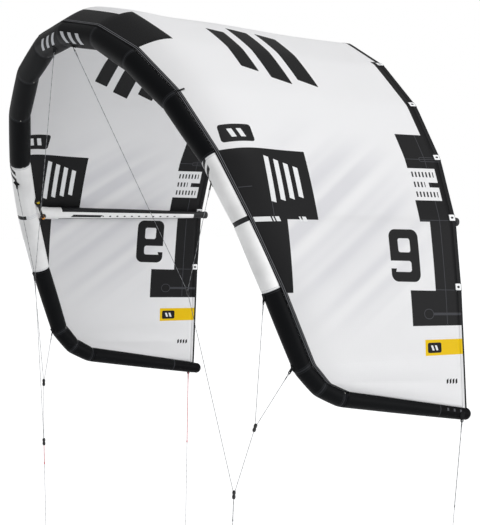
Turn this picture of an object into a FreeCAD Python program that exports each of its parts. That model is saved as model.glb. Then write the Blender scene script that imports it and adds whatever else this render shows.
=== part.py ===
# A kitesurf kite of about nine square metres: an inflatable leading edge and three struts, the
# canopy that they carry, the one-pump hoses, and the bridle with the upper ends of its four lines.
#
# Frame: X runs along the span, Y from the leading edge back to the trailing edge and Z up.
# The origin is on the axis of the leading edge tube, in the middle of the kite. Millimetres.
import FreeCAD, Part
import math
import os

V = FreeCAD.Vector
SIDES = (("left", 1), ("right", -1))
ACROSS, BACK, UP = V(1, 0, 0), V(0, 1, 0), V(0, 0, 1)
MIDDLE = V(0, 0, 0)

# Leading edge: one straight piece of tube after another, from the middle out. Each has its length
# seen from the front, its drop below level in degrees, its sweep back and its outer diameter.
MIDDLE_DIAMETER = 154
TUBE_PIECES = (
    (401, 7.1, 29, 148),
    (386, 23.2, 34, 144),
    (407, 35.6, 80, 140),
    (404, 51.1, 107, 136),
    (374, 66.1, 116, 132),
    (378, 78.5, 126, 118),
    (427, 83.0, 162, 108),
    (113, 85.3, 102, 104),
    (65, 86.3, 132, 98),
    (130, 87.9, 827, 72),
)
# The joints of the tube where its cloth changes.
WHITE_FROM, WHITE_TO, TIP_FROM, TIP_END = 4, 6, 9, 10
SLEEVE_WALL = 1.2
BLADDER_CLEARANCE = 1.0
BLADDER_WALL = 0.8
# The flat sides that stand for a round section, and the rises of the rings over a domed end.
EDGE_SIDES = 24
STRUT_SIDES = 16
CAP_SIDES = 20
BEAD_SIDES = 14
KNOT_SIDES = 10
CORD_SIDES = 8
DOME_RINGS = (30, 60, 80)
FLATNESS = 1e-6

# Canopy: one rib at each joint of the tube. Each has the angle of its seam round the tube, from
# the outermost line towards the tail; how far it bows above its straight line at the stations;
# and how far its tail stands off the tube's axis, outwards and down the arc.
RIB_STATIONS = (0.1, 0.25, 0.5, 0.75)
RIBS = (
    (-30, (95, 89, 61, 26), 16, 0),
    (-30, (90, 84, 55, 20), 28, 10),
    (-10, (72, 66, 40, 9), 39, 26),
    (-10, (58, 52, 28, 3), 42, 43),
    (-15, (43, 36, 15, 1), 47, 30),
    (-10, (18, 20, 14, 6), 52, 23),
    (20, (23, 24, 16, 7), 36, 36),
    (30, (15, 17, 13, 8), 24, -22),
    (30, (10, 11, 9, 5), 23, 10),
    (50, (0, 0, 0, 0), 26, 93),
)
# Where the cloth bends along each rib behind its seam, which takes in the stations of the struts.
CLOTH_STATIONS = (0.05, 0.12, 0.17, 0.22, 0.29, 0.36, 0.46, 0.56, 0.67, 0.78, 0.89, 1)
TAIL_Y = 1713
CANOPY_THICKNESS = 2.0
SEAM_CLEARANCE = 2.5
TAIL_STRIP_WIDTH = 28
TAIL_STRIP_THICKNESS = 4.0
SEAM_TAPE_WIDTH = 24
SEAM_TAPE_THICKNESS = 1.0
SEAM_TAPE_CLEARANCE = 0.8
# Ribs whose tails carry a small stitched patch.
TAIL_PATCH_RIBS = (2, 3, 4, 5, 6)
TAIL_PATCH_LENGTH = 52
TAIL_PATCH_WIDTH = 40
TAIL_PATCH_THICKNESS = 1.2
PATCH_CLEARANCE = 0.3

# Struts: tapered tubes under the middle rib and under one rib on each side. Each has its diameter
# at its root inside the tube, then at each station along the rib.
STRUT_RIB = 5
STRUT_STATIONS = (0.12, 0.22, 0.36, 0.56, 0.78, 1.0)
STRUT_DIAMETERS = {
    "center": (84, 88, 89, 85, 75, 62, 46),
    "side": (79, 79, 77, 73, 65, 56, 45),
}
STRUT_CLEARANCE = 1.1
STRUT_ROOT_BACK = {"center": 48, "side": 44}
STRUT_ROOT_OUT = {"center": 44, "side": 34}
STRUT_OVERHANG = 22
CAP_WALL = 2.0
CAP_CLEARANCE = 0.4
CAP_DEPTH = 18
CAP_DOME = 9

# One-pump hoses, their elbows and their clamps.
HOSE_DIAMETER = 16
HOSE_ABOVE_STRUT = 98
HOSE_STANDOFF = 17
HOSE_TUBE_TURN = 122
HOSE_STRUT_BACK = 118
HOSE_STRUT_TURN = 32
HOSE_GAP = 0.3
HOSE_BEND_REACH = 0.56
COLLAR_LENGTH = 5
ELBOW_HEAD = 19
ELBOW_FLANGE = 42
ELBOW_FLANGE_THICKNESS = 3
CLAMP_LENGTH = 24
CLAMP_WIDTH = 28
CLAMP_HEIGHT = 22
CLAMP_FIT = 0.4
CLAMP_GAP = 1.0
CLAMP_CHAMFER = 3
LEVER_THICKNESS = 4
LEVER_WIDTH = 14
LEVER_REACH = 32
LEVER_GAP = 0.5
HINGE_PIN = 3.6
HINGE_BARREL = 7.6
HINGE_EAR = 3
HINGE_FIT = 0.4
EAR_SINK = 1.0

# Inflation valve, on the back of the tube beside the middle strut.
VALVE_ALONG = 235
VALVE_TURN = 118
VALVE_FLANGE = 84
VALVE_FLANGE_THICKNESS = 3
VALVE_NECK = 40
VALVE_HEIGHT = 17
VALVE_SKIRT = 5
VALVE_CAP_WALL = 2.5
VALVE_CAP_CLEARANCE = 1.0
LINK_SINK = 0.8
LINK_OVERLAP = 0.2

# Bridle: its lines, the tabs that they leave the tube from, and the beads where they meet.
LINE_DIAMETER = 3.0
TAB_SEWN = 22
TAB_LENGTH = 30
TAB_WIDTH = 20
TAB_THICKNESS = 2.4
TAB_HOLE = 9
TAB_CLEARANCE = 0.4
EYE_LENGTH = 70
EYE_CLEARANCE = 0.9
PAD_SIZE = (36, 30)
PAD_THICKNESS = 1.6
# Each tab: its piece of tube, its distance along that piece and its angle round the tube.
TABS = {
    "nose": (0, 136, -147),
    "white": (4, 121, -124),
    "strut": (6, 20, -98),
    "lower": (6, 436, -102),
    "tip": (9, 798, -19),
}
BEADS = {"upper": V(1067, 238, -1491), "rear": V(1438, 458, -2224), "main": V(1306, 400, -2605)}
BEAD_SIZES = {"upper": (14, 46), "rear": (21, 50), "main": (21, 50)}
BEAD_WAIST = 0.72
BEAD_NOSE = 0.55
# Bridle lines: the tab or bead at the upper end and the bead at the lower end.
BRIDLE = (("nose", "upper"), ("white", "upper"), ("strut", "rear"), ("lower", "rear"),
          ("upper", "main"), ("rear", "main"))

# The four lines: their lean, and how far down their knots and their ends are.
PIGTAIL_DIAMETER = 4.4
FRONT_LEAN = V(-0.075, -0.011, -1)
BACK_LEAN = V(-0.064, -0.054, -1)
FRONT_KNOT_Z, FRONT_END_Z = -2747, -3215
BACK_KNOT_Z, BACK_END_Z = -2718, -3375
KNOT_SIZE = (9, 17)
END_TAIL = 30
SWING_GAP = 0.9


# --- helpers ---------------------------------------------------------------------------------

def unit(vector):
    return vector * (1 / vector.Length)


def between(a, b, share):
    return a + (b - a) * share


def mirrored(shape):
    return shape.mirror(MIDDLE, ACROSS)


def sided(shape, side):
    return shape if side > 0 else mirrored(shape)


def rod(start, end, diameter):
    return Part.makeCylinder(diameter / 2, (end - start).Length, start, end - start)


def joined(shapes):
    return shapes[0].multiFuse(shapes[1:]).removeSplitter() if len(shapes) > 1 else shapes[0]


def export(name, *shapes):
    solids = [solid for shape in shapes for solid in shape.Solids]
    whole = solids[0] if len(solids) == 1 else Part.makeCompound(solids)
    whole.exportStep("parts/" + name + ".step")


# --- soft shapes with flat faces ---------------------------------------------------------------

def flat_faces(a, b, c, d):
    """The face between four points, or the two triangles on either side of the shorter diagonal."""
    normal = (b - a).cross(d - a)
    if normal.Length > 0 and abs((c - a).dot(unit(normal))) < FLATNESS:
        return [Part.Face(Part.makePolygon([a, b, c, d, a]))]
    if (c - a).Length > (d - b).Length:
        a, b, c, d = b, c, d, a
    return [Part.Face(Part.makePolygon([a, b, c, a])), Part.Face(Part.makePolygon([a, c, d, a]))]


def skin(rings, ends=True):
    """A closed solid through rings of points, with flat faces between them. It has a flat end at
    its first and last ring, or else its last ring is joined to its first, as in a sleeve."""
    if ends:
        faces = [Part.Face(Part.makePolygon(ring + ring[:1])) for ring in (rings[0], rings[-1])]
    else:
        faces, rings = [], rings + rings[:1]
    for low, high in zip(rings, rings[1:]):
        for here in range(len(low)):
            following = (here + 1) % len(low)
            faces += flat_faces(low[here], low[following], high[following], high[here])
    shell = Part.makeShell(faces)
    shell.sewShape()
    solid = Part.Solid(shell)
    if solid.Volume < 0:
        solid.reverse()
    return solid


def turned(outline, sides, centre=None, direction=None):
    """A closed solid of revolution with flat sides, through an outline of (radius, height)."""
    turn = FreeCAD.Rotation(UP, direction or UP)
    rings = []
    for radius, height in outline:
        points = [V(radius * math.cos(2 * math.pi * side / sides),
                    radius * math.sin(2 * math.pi * side / sides), height) for side in range(sides)]
        rings.append([turn.multVec(point) + (centre or MIDDLE) for point in points])
    return skin(rings)


def cord(start, end, diameter):
    outline = [(diameter / 2, 0), (diameter / 2, (end - start).Length)]
    return turned(outline, CORD_SIDES, start, end - start)


class Tube:
    """Straight tapered pieces in a row. Both pieces at a joint touch one ball there, so that they
    meet in a plane. Each joint has one ray for each corner of the section, for a ball of radius 1,
    so a tube that is larger or smaller all round keeps the same flat sides."""

    def __init__(self, joints, radii, sides):
        self.joints, self.radii, self.sides = joints, radii, sides
        self.runs = [unit(b - a) for a, b in zip(joints, joints[1:])]
        lengths = [(b - a).Length for a, b in zip(joints, joints[1:])]
        self.tapers = [math.asin((a - b) / length) for a, b, length in zip(radii, radii[1:], lengths)]
        upright = unit(UP - self.runs[0] * UP.dot(self.runs[0]))
        sideways = upright.cross(self.runs[0])
        turns = [2 * math.pi * (side + 0.5) / sides for side in range(sides)]
        around = [upright * math.cos(turn) + sideways * math.sin(turn) for turn in turns]
        self.rays = []
        for joint in range(len(joints)):
            before = max(joint - 1, 0)
            self.rays.append([self.ray(joint, before, out) for out in around])
            if joint < len(self.runs):
                along = self.runs[joint]
                around = [unit(ray - along * ray.dot(along)) for ray in self.rays[joint]]

    def plane(self, joint):
        """The direction of the plane between two pieces and its distance from the unit ball's centre."""
        if joint == 0:
            return (self.runs[0] if self.joints[0] != MIDDLE else ACROSS), 0.0
        before, run = self.tapers[joint - 1], self.runs[joint - 1]
        if joint == len(self.runs):
            return run, math.sin(before)
        after, following = self.tapers[joint], self.runs[joint]
        normal = run * (1 / math.cos(before)) + following * (1 / math.cos(after))
        return unit(normal), (math.tan(before) + math.tan(after)) / normal.Length

    def ray(self, joint, piece, out):
        """Where the line along a piece, tangent to the unit ball on its outward side, meets the plane."""
        taper, run = self.tapers[piece], self.runs[piece]
        touch = out * math.cos(taper) + run * math.sin(taper)
        line = run * math.cos(taper) - out * math.sin(taper)
        normal, distance = self.plane(joint)
        return touch + line * ((distance - touch.dot(normal)) / line.dot(normal))

    def ring(self, joint, grown):
        return [self.joints[joint] + ray * (self.radii[joint] + grown) for ray in self.rays[joint]]

    def rings(self, first, last, grown):
        return [self.ring(joint, grown) for joint in range(first, last + 1)]

    def dome(self, grown):
        """Rings over the ball that closes the tube's last joint."""
        run, radius = self.runs[-1], self.radii[-1] + grown
        around = [unit(ray - run * ray.dot(run)) for ray in self.rays[-1]]
        return [[self.joints[-1] + (out * math.cos(rise) + run * math.sin(rise)) * radius for out in around]
                for rise in (math.radians(degrees) for degrees in DOME_RINGS)]

    def solid(self, first, last, grown=0.0):
        """A solid bar from one joint to another."""
        return skin(self.rings(first, last, grown))


# --- leading edge ----------------------------------------------------------------------------

def tube_joints():
    """Points on the tube's axis where its straight pieces meet."""
    points = [MIDDLE]
    for length, drop, sweep, _ in TUBE_PIECES:
        slope = math.radians(drop)
        points.append(points[-1] + V(length * math.cos(slope), sweep, -length * math.sin(slope)))
    return points


JOINTS = tube_joints()
RADII = [MIDDLE_DIAMETER / 2] + [piece[3] / 2 for piece in TUBE_PIECES]
EDGE = Tube(JOINTS, RADII, EDGE_SIDES)
RUNS = EDGE.runs


def joint_frame(joint):
    """Outward, backward and along-the-tube directions at a joint, and its drop in radians."""
    if joint == 0:
        return UP, BACK, ACROSS, 0.0
    last = min(joint, len(RUNS) - 1)
    along = unit(RUNS[joint - 1] + RUNS[last])
    drop = math.radians((TUBE_PIECES[joint - 1][1] + TUBE_PIECES[last][1]) / 2)
    outward = level_outward(drop)
    outward = unit(outward - along * outward.dot(along))
    return outward, outward.cross(along), along, drop


def level_outward(drop):
    return V(math.sin(drop), 0, math.cos(drop))


def piece_frame(piece):
    along = RUNS[piece]
    outward = level_outward(math.radians(TUBE_PIECES[piece][1]))
    outward = unit(outward - along * outward.dot(along))
    return outward, outward.cross(along), along


def tube_point(piece, along_mm, turn_degrees, offset):
    """A point off the tube's surface and the outward direction there."""
    outward, backward, along = piece_frame(piece)
    turn = math.radians(turn_degrees)
    direction = outward * math.cos(turn) + backward * math.sin(turn)
    share = along_mm / (JOINTS[piece + 1] - JOINTS[piece]).Length
    radius = RADII[piece] + (RADII[piece + 1] - RADII[piece]) * share
    return JOINTS[piece] + along * along_mm + direction * (radius + offset), direction


def both_halves(half):
    return joined([half, mirrored(half)])


def sleeve(first, last):
    """An open-ended cloth tube from one joint to another."""
    outside, inside = EDGE.rings(first, last, 0), EDGE.rings(first, last, -SLEEVE_WALL)
    return skin(outside + inside[::-1], False)


def make_leading_edge():
    export("le_sleeve_center", both_halves(sleeve(0, WHITE_FROM)))
    white, lower = sleeve(WHITE_FROM, WHITE_TO), sleeve(WHITE_TO, TIP_FROM)
    tip = skin(EDGE.dome(-SLEEVE_WALL)[::-1] + EDGE.rings(TIP_FROM, TIP_END, -SLEEVE_WALL)[::-1]
               + EDGE.rings(TIP_FROM, TIP_END, 0) + EDGE.dome(0))
    for name, side in SIDES:
        export("le_sleeve_white_" + name, sided(white, side))
        export("le_sleeve_lower_" + name, sided(lower, side))
        export("le_sleeve_tip_" + name, sided(tip, side))
    depth = -SLEEVE_WALL - BLADDER_CLEARANCE
    film = skin(EDGE.dome(depth - BLADDER_WALL)[::-1] + EDGE.rings(0, TIP_END, depth - BLADDER_WALL)[::-1]
                + EDGE.rings(0, TIP_END, depth) + EDGE.dome(depth))
    export("le_bladder", both_halves(film))


# --- canopy ----------------------------------------------------------------------------------

def rib_line(rib, distance=0.0):
    """Seam, stations and tail of one rib, at a distance below the canopy's outer face."""
    seam_turn, bows, tail_out, tail_down = RIBS[rib]
    outward, backward, _, drop = joint_frame(rib)
    level_out = level_outward(drop)
    level_down = V(level_out.z, 0, -level_out.x)
    axis, turn = JOINTS[rib], math.radians(seam_turn)
    tail = V(axis.x, TAIL_Y - TAIL_STRIP_WIDTH, axis.z) + level_out * tail_out + level_down * tail_down
    seam_reach = RADII[rib] + SEAM_CLEARANCE + CANOPY_THICKNESS
    seam = axis + (outward * math.cos(turn) + backward * math.sin(turn)) * seam_reach
    line = [seam] + [between(seam, tail, share) + level_out * bow for share, bow in zip(RIB_STATIONS, bows)]
    return [point - level_out * distance for point in line + [tail]]


def on_rib(rib, distance):
    """The point at a distance along the rib's outer face, the way along it and the way out."""
    curve = smooth(rib_line(rib))
    at = curve.getParameterByLength(distance)
    along = unit(curve.tangentAt(at))
    out = level_outward(joint_frame(rib)[3])
    return curve.valueAt(at), along, unit(out - along * out.dot(along))


def smooth(points):
    curve = Part.BSplineCurve()
    curve.interpolate(points)
    return curve.toShape()


def rib_section(rib):
    """Corners along the outer face of the cloth and back along its inner face."""
    curve = smooth(rib_line(rib))
    level_out = level_outward(joint_frame(rib)[3])
    distances = [0, SEAM_TAPE_WIDTH] + [curve.Length * station for station in CLOTH_STATIONS]
    outer = [curve.valueAt(curve.getParameterByLength(distance)) for distance in distances]
    return outer + [point - level_out * CANOPY_THICKNESS for point in outer[::-1]]


def band(corners_of_rib, first, last):
    """Cloth along the span whose corners are given at each rib."""
    return skin([corners_of_rib(rib) for rib in range(first, last + 1)])


def tail_frame(rib):
    """Tail point of a rib's outer face, the way back along the cloth and the way out."""
    return on_rib(rib, smooth(rib_line(rib)).Length)


def tail_strip_corners(rib):
    tail, back, _ = tail_frame(rib)
    out = level_outward(joint_frame(rib)[3])
    spare = (TAIL_STRIP_THICKNESS - CANOPY_THICKNESS) / 2
    top, bottom = tail + out * spare, tail - out * (CANOPY_THICKNESS + spare)
    return [top, top + back * TAIL_STRIP_WIDTH, bottom + back * TAIL_STRIP_WIDTH, bottom]


def seam_tape_corners(rib):
    """The tape lies on the cloth from the seam back."""
    corners = []
    for lift in (SEAM_TAPE_CLEARANCE, SEAM_TAPE_CLEARANCE + SEAM_TAPE_THICKNESS):
        edge = [on_rib(rib, distance) for distance in (0, SEAM_TAPE_WIDTH)]
        corners.append([point + out * lift for point, _, out in edge])
    low, high = corners
    return low + high[::-1]


def tail_patch(rib):
    """A flat patch on the tail strip beside a rib, on the side nearer the middle."""
    tail, back, out = tail_frame(rib)
    inner_tail = tail_frame(rib - 1)[0]
    inward = unit(inner_tail - tail)
    inward = unit(inward - back * inward.dot(back))
    normal = back.cross(inward)
    normal = normal if normal.dot(out) > 0 else normal * -1
    lift = (TAIL_STRIP_THICKNESS - CANOPY_THICKNESS) / 2 + PATCH_CLEARANCE
    corner = tail + normal * lift + inward * PATCH_CLEARANCE - back * (TAIL_PATCH_WIDTH - TAIL_STRIP_WIDTH)
    edges = [corner, corner + back * TAIL_PATCH_WIDTH,
             corner + back * TAIL_PATCH_WIDTH + inward * TAIL_PATCH_LENGTH,
             corner + inward * TAIL_PATCH_LENGTH, corner]
    return Part.Face(Part.makePolygon(edges)).extrude(normal * TAIL_PATCH_THICKNESS)


def make_canopy():
    patches = [tail_patch(rib) for rib in TAIL_PATCH_RIBS]
    export("trailing_edge_patches", *[sided(patch, side) for _, side in SIDES for patch in patches])
    pieces = {
        "canopy_center_": band(rib_section, 0, STRUT_RIB),
        "canopy_wing_": band(rib_section, STRUT_RIB, len(RIBS) - 1),
        "trailing_edge_strip_": band(tail_strip_corners, 0, len(RIBS) - 1),
        "seam_tape_": band(seam_tape_corners, 0, len(RIBS) - 1),
    }
    for name, side in SIDES:
        for piece, shape in pieces.items():
            export(piece + name, sided(shape, side))


# --- struts ----------------------------------------------------------------------------------

def strut_spine(kind):
    """Centres and radii of the strut's rings, from its root inside the tube to its tail."""
    rib = 0 if kind == "center" else STRUT_RIB
    outward, backward, _, _ = joint_frame(rib)
    radii = [diameter / 2 for diameter in STRUT_DIAMETERS[kind]]
    centres = [JOINTS[rib] + outward * STRUT_ROOT_OUT[kind] + backward * STRUT_ROOT_BACK[kind]]
    length = smooth(rib_line(rib)).Length
    below = (CANOPY_THICKNESS + TAIL_STRIP_THICKNESS) / 2 + STRUT_CLEARANCE
    outs = []
    for station, radius in zip(STRUT_STATIONS, radii[1:]):
        point, _, out = on_rib(rib, length * station)
        centres.append(point - out * (below + radius))
        outs.append(out)
    rises = [mitre_rise(*centres[k - 1:k + 2], radii[k]) for k in range(1, len(centres) - 1)]
    for k, rise in enumerate(rises):
        centres[k + 1] = centres[k + 1] - outs[k] * rise
    return centres, radii


def mitre_rise(before, corner, after, radius):
    """How far a bent tube stands out past its own radius on the outer side of its mitre."""
    return radius * (1 / math.cos((corner - before).getAngle(after - corner) / 2) - 1)


def strut_tube(kind, shorter=0.0):
    centres, radii = strut_spine(kind)
    last = unit(centres[-1] - centres[-2])
    centres.append(centres[-1] + last * (TAIL_STRIP_WIDTH + STRUT_OVERHANG - shorter))
    return Tube(centres, radii + [radii[-1]], STRUT_SIDES)


def strut(kind, offset=0.0):
    tube = STRUTS[kind]
    return tube.solid(0, len(tube.runs), offset)


def strut_cap(kind):
    """A domed cup over the strut's tail."""
    end, last, radius = STRUTS[kind].joints[-1], STRUTS[kind].runs[-1], STRUTS[kind].radii[-1]
    inner = radius + CAP_CLEARANCE
    outer = inner + CAP_WALL
    rises = [math.radians(degrees) for degrees in DOME_RINGS]
    dome = [(outer * math.cos(rise), CAP_DEPTH + CAP_DOME * math.sin(rise)) for rise in rises]
    outline = [(inner, CAP_DEPTH - CAP_WALL), (inner, 0), (outer, 0), (outer, CAP_DEPTH)] + dome
    return turned(outline, CAP_SIDES, end - last * (CAP_DEPTH - CAP_WALL - CAP_CLEARANCE), last)


def carrier(kind, clearance):
    """The part of the leading edge that a strut stands on, grown by a clearance."""
    if kind == "center":
        return both_halves(EDGE.solid(0, 1, clearance))
    return EDGE.solid(STRUT_RIB - 1, STRUT_RIB + 1, clearance)


def strut_inside(kind, depth, tail):
    """The strut's hollow, a depth in from its wall and a tail in from its end."""
    tube = strut_tube(kind, tail)
    return tube.solid(0, len(tube.runs), -depth)


def make_struts():
    bladders, caps = [], []
    skin = SLEEVE_WALL + BLADDER_CLEARANCE
    for kind in ("center", "side"):
        cloth = strut(kind).cut(carrier(kind, STRUT_CLEARANCE))
        cloth = cloth.cut(strut_inside(kind, SLEEVE_WALL, SLEEVE_WALL))
        bladder = strut_inside(kind, skin, skin).cut(carrier(kind, skin))
        lining = strut_inside(kind, skin + BLADDER_WALL, skin + BLADDER_WALL)
        bladder = bladder.cut(lining.cut(carrier(kind, skin + BLADDER_WALL)))
        cap = strut_cap(kind)
        for name, side in ((("center", 1),) if kind == "center" else SIDES):
            export("strut_" + name, sided(cloth, side))
            bladders.append(sided(bladder, side))
            caps.append(sided(cap, side))
    export("strut_bladders", *bladders)
    export("strut_end_caps", *caps)


# --- fittings on a curved wall ----------------------------------------------------------------

def circle(centre, direction, radius):
    return Part.Wire(Part.makeCircle(radius, centre, direction))


def block(centre, lengthwise, sideways, size):
    """A box centred on a point, with its length and width along the given directions."""
    length, width, height = size
    box = Part.makeBox(length, width, height, V(-length / 2, -width / 2, -height / 2))
    turn = FreeCAD.Rotation(lengthwise, sideways, lengthwise.cross(sideways), "XYZ")
    box.Placement = FreeCAD.Placement(centre, turn)
    return box


def saddle(point, direction, diameter, thickness, wall):
    """A round pad that follows the wall under it and is flat on top."""
    depth = diameter / 3
    pad = Part.makeCylinder(diameter / 2, depth + thickness, point - direction * depth, direction)
    return pad.cut(wall)


def hinge_ears(centre, axis, foot, height, width):
    """Two ears that hold a pin: from their foot up past the pin, with the pin's holes."""
    ears = []
    for way in (1, -1):
        middle = centre + axis * way * (width / 2 + HINGE_FIT + HINGE_EAR / 2)
        ear = block(middle - foot * (height / 2), axis, axis.cross(foot) * -1,
                    (HINGE_EAR, HINGE_BARREL, height))
        tip = rod(middle - axis * (HINGE_EAR / 2), middle + axis * (HINGE_EAR / 2), HINGE_BARREL)
        ears.append(joined([ear, tip]))
    reach = width / 2 + HINGE_FIT + 2 * HINGE_EAR
    hole = rod(centre - axis * reach, centre + axis * reach, HINGE_PIN + 2 * HINGE_FIT)
    return [ear.cut(hole) for ear in ears]


def hinge_barrel(centre, axis, width):
    """The barrel between the ears, with its pin ending flush with their outer faces."""
    reach = width / 2 + HINGE_FIT + HINGE_EAR
    barrel = rod(centre - axis * (width / 2), centre + axis * (width / 2), HINGE_BARREL)
    return joined([barrel, rod(centre - axis * reach, centre + axis * reach, HINGE_PIN)])


# --- one-pump hoses --------------------------------------------------------------------------

def route(name, points):
    """A wire of straight runs joined by arcs as large as the runs allow."""
    edges, start = [], points[0]
    for before, corner, after in zip(points, points[1:], points[2:]):
        arriving, leaving = unit(corner - before), unit(after - corner)
        turn = arriving.getAngle(leaving)
        cut_back = 0.45 * min((corner - before).Length, (after - corner).Length)
        radius = cut_back / math.tan(turn / 2)
        first, last = corner - arriving * cut_back, corner + leaving * cut_back
        centre = corner + unit(leaving - arriving) * (radius / math.cos(turn / 2))
        middle = centre + unit(corner - centre) * radius
        edges += [Part.LineSegment(start, first).toShape(), Part.Arc(first, middle, last).toShape()]
        start = last
        print(name, "bend radius", round(radius, 1), "mm")
    edges.append(Part.LineSegment(start, points[-1]).toShape())
    return Part.Wire(edges)


def pipe(wire, points, diameter):
    return wire.makePipeShell([circle(points[0], points[1] - points[0], diameter / 2)], True, False)


def hose_ends(kind):
    """The hose's feet on the tube and on the strut, and the way out of the wall at each."""
    piece = 0 if kind == "center" else STRUT_RIB - 1
    joint = 0 if kind == "center" else STRUT_RIB
    length = (JOINTS[piece + 1] - JOINTS[piece]).Length
    along_mm = HOSE_ABOVE_STRUT if kind == "center" else length - HOSE_ABOVE_STRUT
    tube_foot, tube_out = tube_point(piece, along_mm, HOSE_TUBE_TURN, 0)
    outward, _, along, _ = joint_frame(joint)
    beyond = along * -1 if kind == "center" else along
    centres, radii = strut_spine(kind)
    run = unit(centres[1] - centres[0])
    share = (JOINTS[joint].y + HOSE_STRUT_BACK - centres[0].y) / (centres[1] - centres[0]).y
    centre = between(centres[0], centres[1], share)
    turn = math.radians(HOSE_STRUT_TURN)
    strut_out = beyond * math.sin(turn) - outward * math.cos(turn)
    strut_out = unit(strut_out - run * strut_out.dot(run))
    return tube_foot, tube_out, centre + strut_out * (radii[0] + (radii[1] - radii[0]) * share), strut_out


def elbow(foot, out, heading, wall):
    """A flange on the wall and a mitred bend that ends in the collar of the hose."""
    corner = foot + out * HOSE_STANDOFF
    flange = saddle(foot, out, ELBOW_FLANGE, ELBOW_FLANGE_THICKNESS, wall)
    past = ELBOW_HEAD * 2
    post = rod(foot + out * (ELBOW_FLANGE_THICKNESS / 2), corner + out * past, ELBOW_HEAD)
    collar = rod(corner - heading * past, corner + heading * (ELBOW_HEAD / 2 + COLLAR_LENGTH), ELBOW_HEAD)
    half_space = Part.makeCylinder(2 * past, 2 * past, corner, unit(heading + out))
    return joined([flange, post.cut(half_space), collar.common(half_space)])


def hose_set(kind):
    """The hose, its two elbows, the clamp on it, the clamp's lever and the lever's axis."""
    tube_foot, tube_out, strut_foot, strut_out = hose_ends(kind)
    start, end = tube_foot + tube_out * HOSE_STANDOFF, strut_foot + strut_out * HOSE_STANDOFF
    piece = 0 if kind == "center" else STRUT_RIB - 1
    way = RUNS[piece] * (-1 if kind == "center" else 1)
    corner = start + unit(way + unit(end - start)) * ((end - start).Length * HOSE_BEND_REACH)
    leaving, arriving = unit(corner - start), unit(end - corner)
    inset = ELBOW_HEAD / 2 + COLLAR_LENGTH + HOSE_GAP
    points = [start + leaving * inset, corner, end - arriving * inset]
    wire = route("hose " + kind, points)
    hose = pipe(wire, points, HOSE_DIAMETER)
    elbows = [elbow(tube_foot, tube_out, leaving, carrier(kind, TAB_CLEARANCE)),
              elbow(strut_foot, strut_out, arriving * -1, strut(kind, TAB_CLEARANCE))]
    up = unit(tube_out - leaving * tube_out.dot(leaving))
    across = up.cross(leaving)
    middle = points[0] + leaving * (CLAMP_LENGTH / 2 + CLAMP_GAP)
    base = block(middle, leaving, across, (CLAMP_LENGTH, CLAMP_WIDTH, CLAMP_HEIGHT))
    long_edges = [edge for edge in base.Edges if abs(edge.Length - CLAMP_LENGTH) < 0.01]
    base = base.makeChamfer(CLAMP_CHAMFER, long_edges)
    base = base.cut(rod(middle - leaving * CLAMP_LENGTH, middle + leaving * CLAMP_LENGTH,
                        HOSE_DIAMETER + 2 * CLAMP_FIT))
    pin = middle - leaving * (CLAMP_LENGTH / 2 - HINGE_BARREL / 2)
    pin = pin + up * (CLAMP_HEIGHT / 2 + LEVER_GAP + HINGE_BARREL / 2)
    ears = hinge_ears(pin, across, up, HINGE_BARREL / 2 + LEVER_GAP + EAR_SINK, LEVER_WIDTH)
    base = joined([base] + ears)
    plate = block(pin + leaving * (LEVER_REACH / 2) - up * (HINGE_BARREL / 2 - LEVER_THICKNESS / 2),
                  leaving, across, (LEVER_REACH, LEVER_WIDTH, LEVER_THICKNESS))
    lever = joined([plate, hinge_barrel(pin, across, LEVER_WIDTH)])
    print("lever", kind, "pin", pin, "axis", across)
    return hose, elbows, base, lever


def make_hoses():
    hoses, elbows, clamps = [], [], []
    for kind in ("center", "side"):
        hose, pair, base, lever = hose_set(kind)
        for name, side in ((("center", 1),) if kind == "center" else SIDES):
            hoses.append(sided(hose, side))
            export("clamp_lever_" + name, sided(lever, side))
            elbows += [sided(one, side) for one in pair]
            clamps.append(sided(base, side))
    export("pump_hoses", *hoses)
    export("hose_elbows", *elbows)
    export("hose_clamps", *clamps)


# --- inflation valve -------------------------------------------------------------------------

def make_valve():
    foot, out = tube_point(0, VALVE_ALONG, VALVE_TURN, 0)
    along = RUNS[0]
    across = out.cross(along)
    flange = saddle(foot, out, VALVE_FLANGE, VALVE_FLANGE_THICKNESS, EDGE.solid(0, 1, TAB_CLEARANCE))
    neck = rod(foot + out * (VALVE_FLANGE_THICKNESS / 2), foot + out * VALVE_HEIGHT, VALVE_NECK)
    inner = VALVE_NECK / 2 + VALVE_CAP_CLEARANCE
    outer = inner + VALVE_CAP_WALL
    skirt_foot = foot + out * (VALVE_HEIGHT - VALVE_SKIRT)
    top = foot + out * (VALVE_HEIGHT + HINGE_FIT + VALVE_CAP_WALL)
    hollow = rod(skirt_foot, foot + out * (VALVE_HEIGHT + HINGE_FIT), 2 * inner)
    cup = rod(skirt_foot, top, 2 * outer).cut(hollow)
    pin_reach = outer + HINGE_FIT + HINGE_BARREL / 2
    pin = skirt_foot + along * pin_reach
    width = LEVER_WIDTH
    link = block(skirt_foot + along * (outer + pin_reach) * 0.5 + out * (HINGE_BARREL / 4),
                 along, across, (pin_reach - outer + 2 * LINK_SINK, width, HINGE_BARREL / 2))
    link = link.cut(rod(skirt_foot, top, 2 * (outer - LINK_OVERLAP)))
    cap = joined([cup, link, hinge_barrel(pin, across, width)])
    ear_height = VALVE_HEIGHT - VALVE_SKIRT - VALVE_FLANGE_THICKNESS / 2
    base = joined([flange, neck] + hinge_ears(pin, across, out, ear_height, width))
    print("valve pin", pin, "axis", across)
    export("valve_base", base)
    export("valve_cap", cap)


# --- bridle ----------------------------------------------------------------------------------

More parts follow.
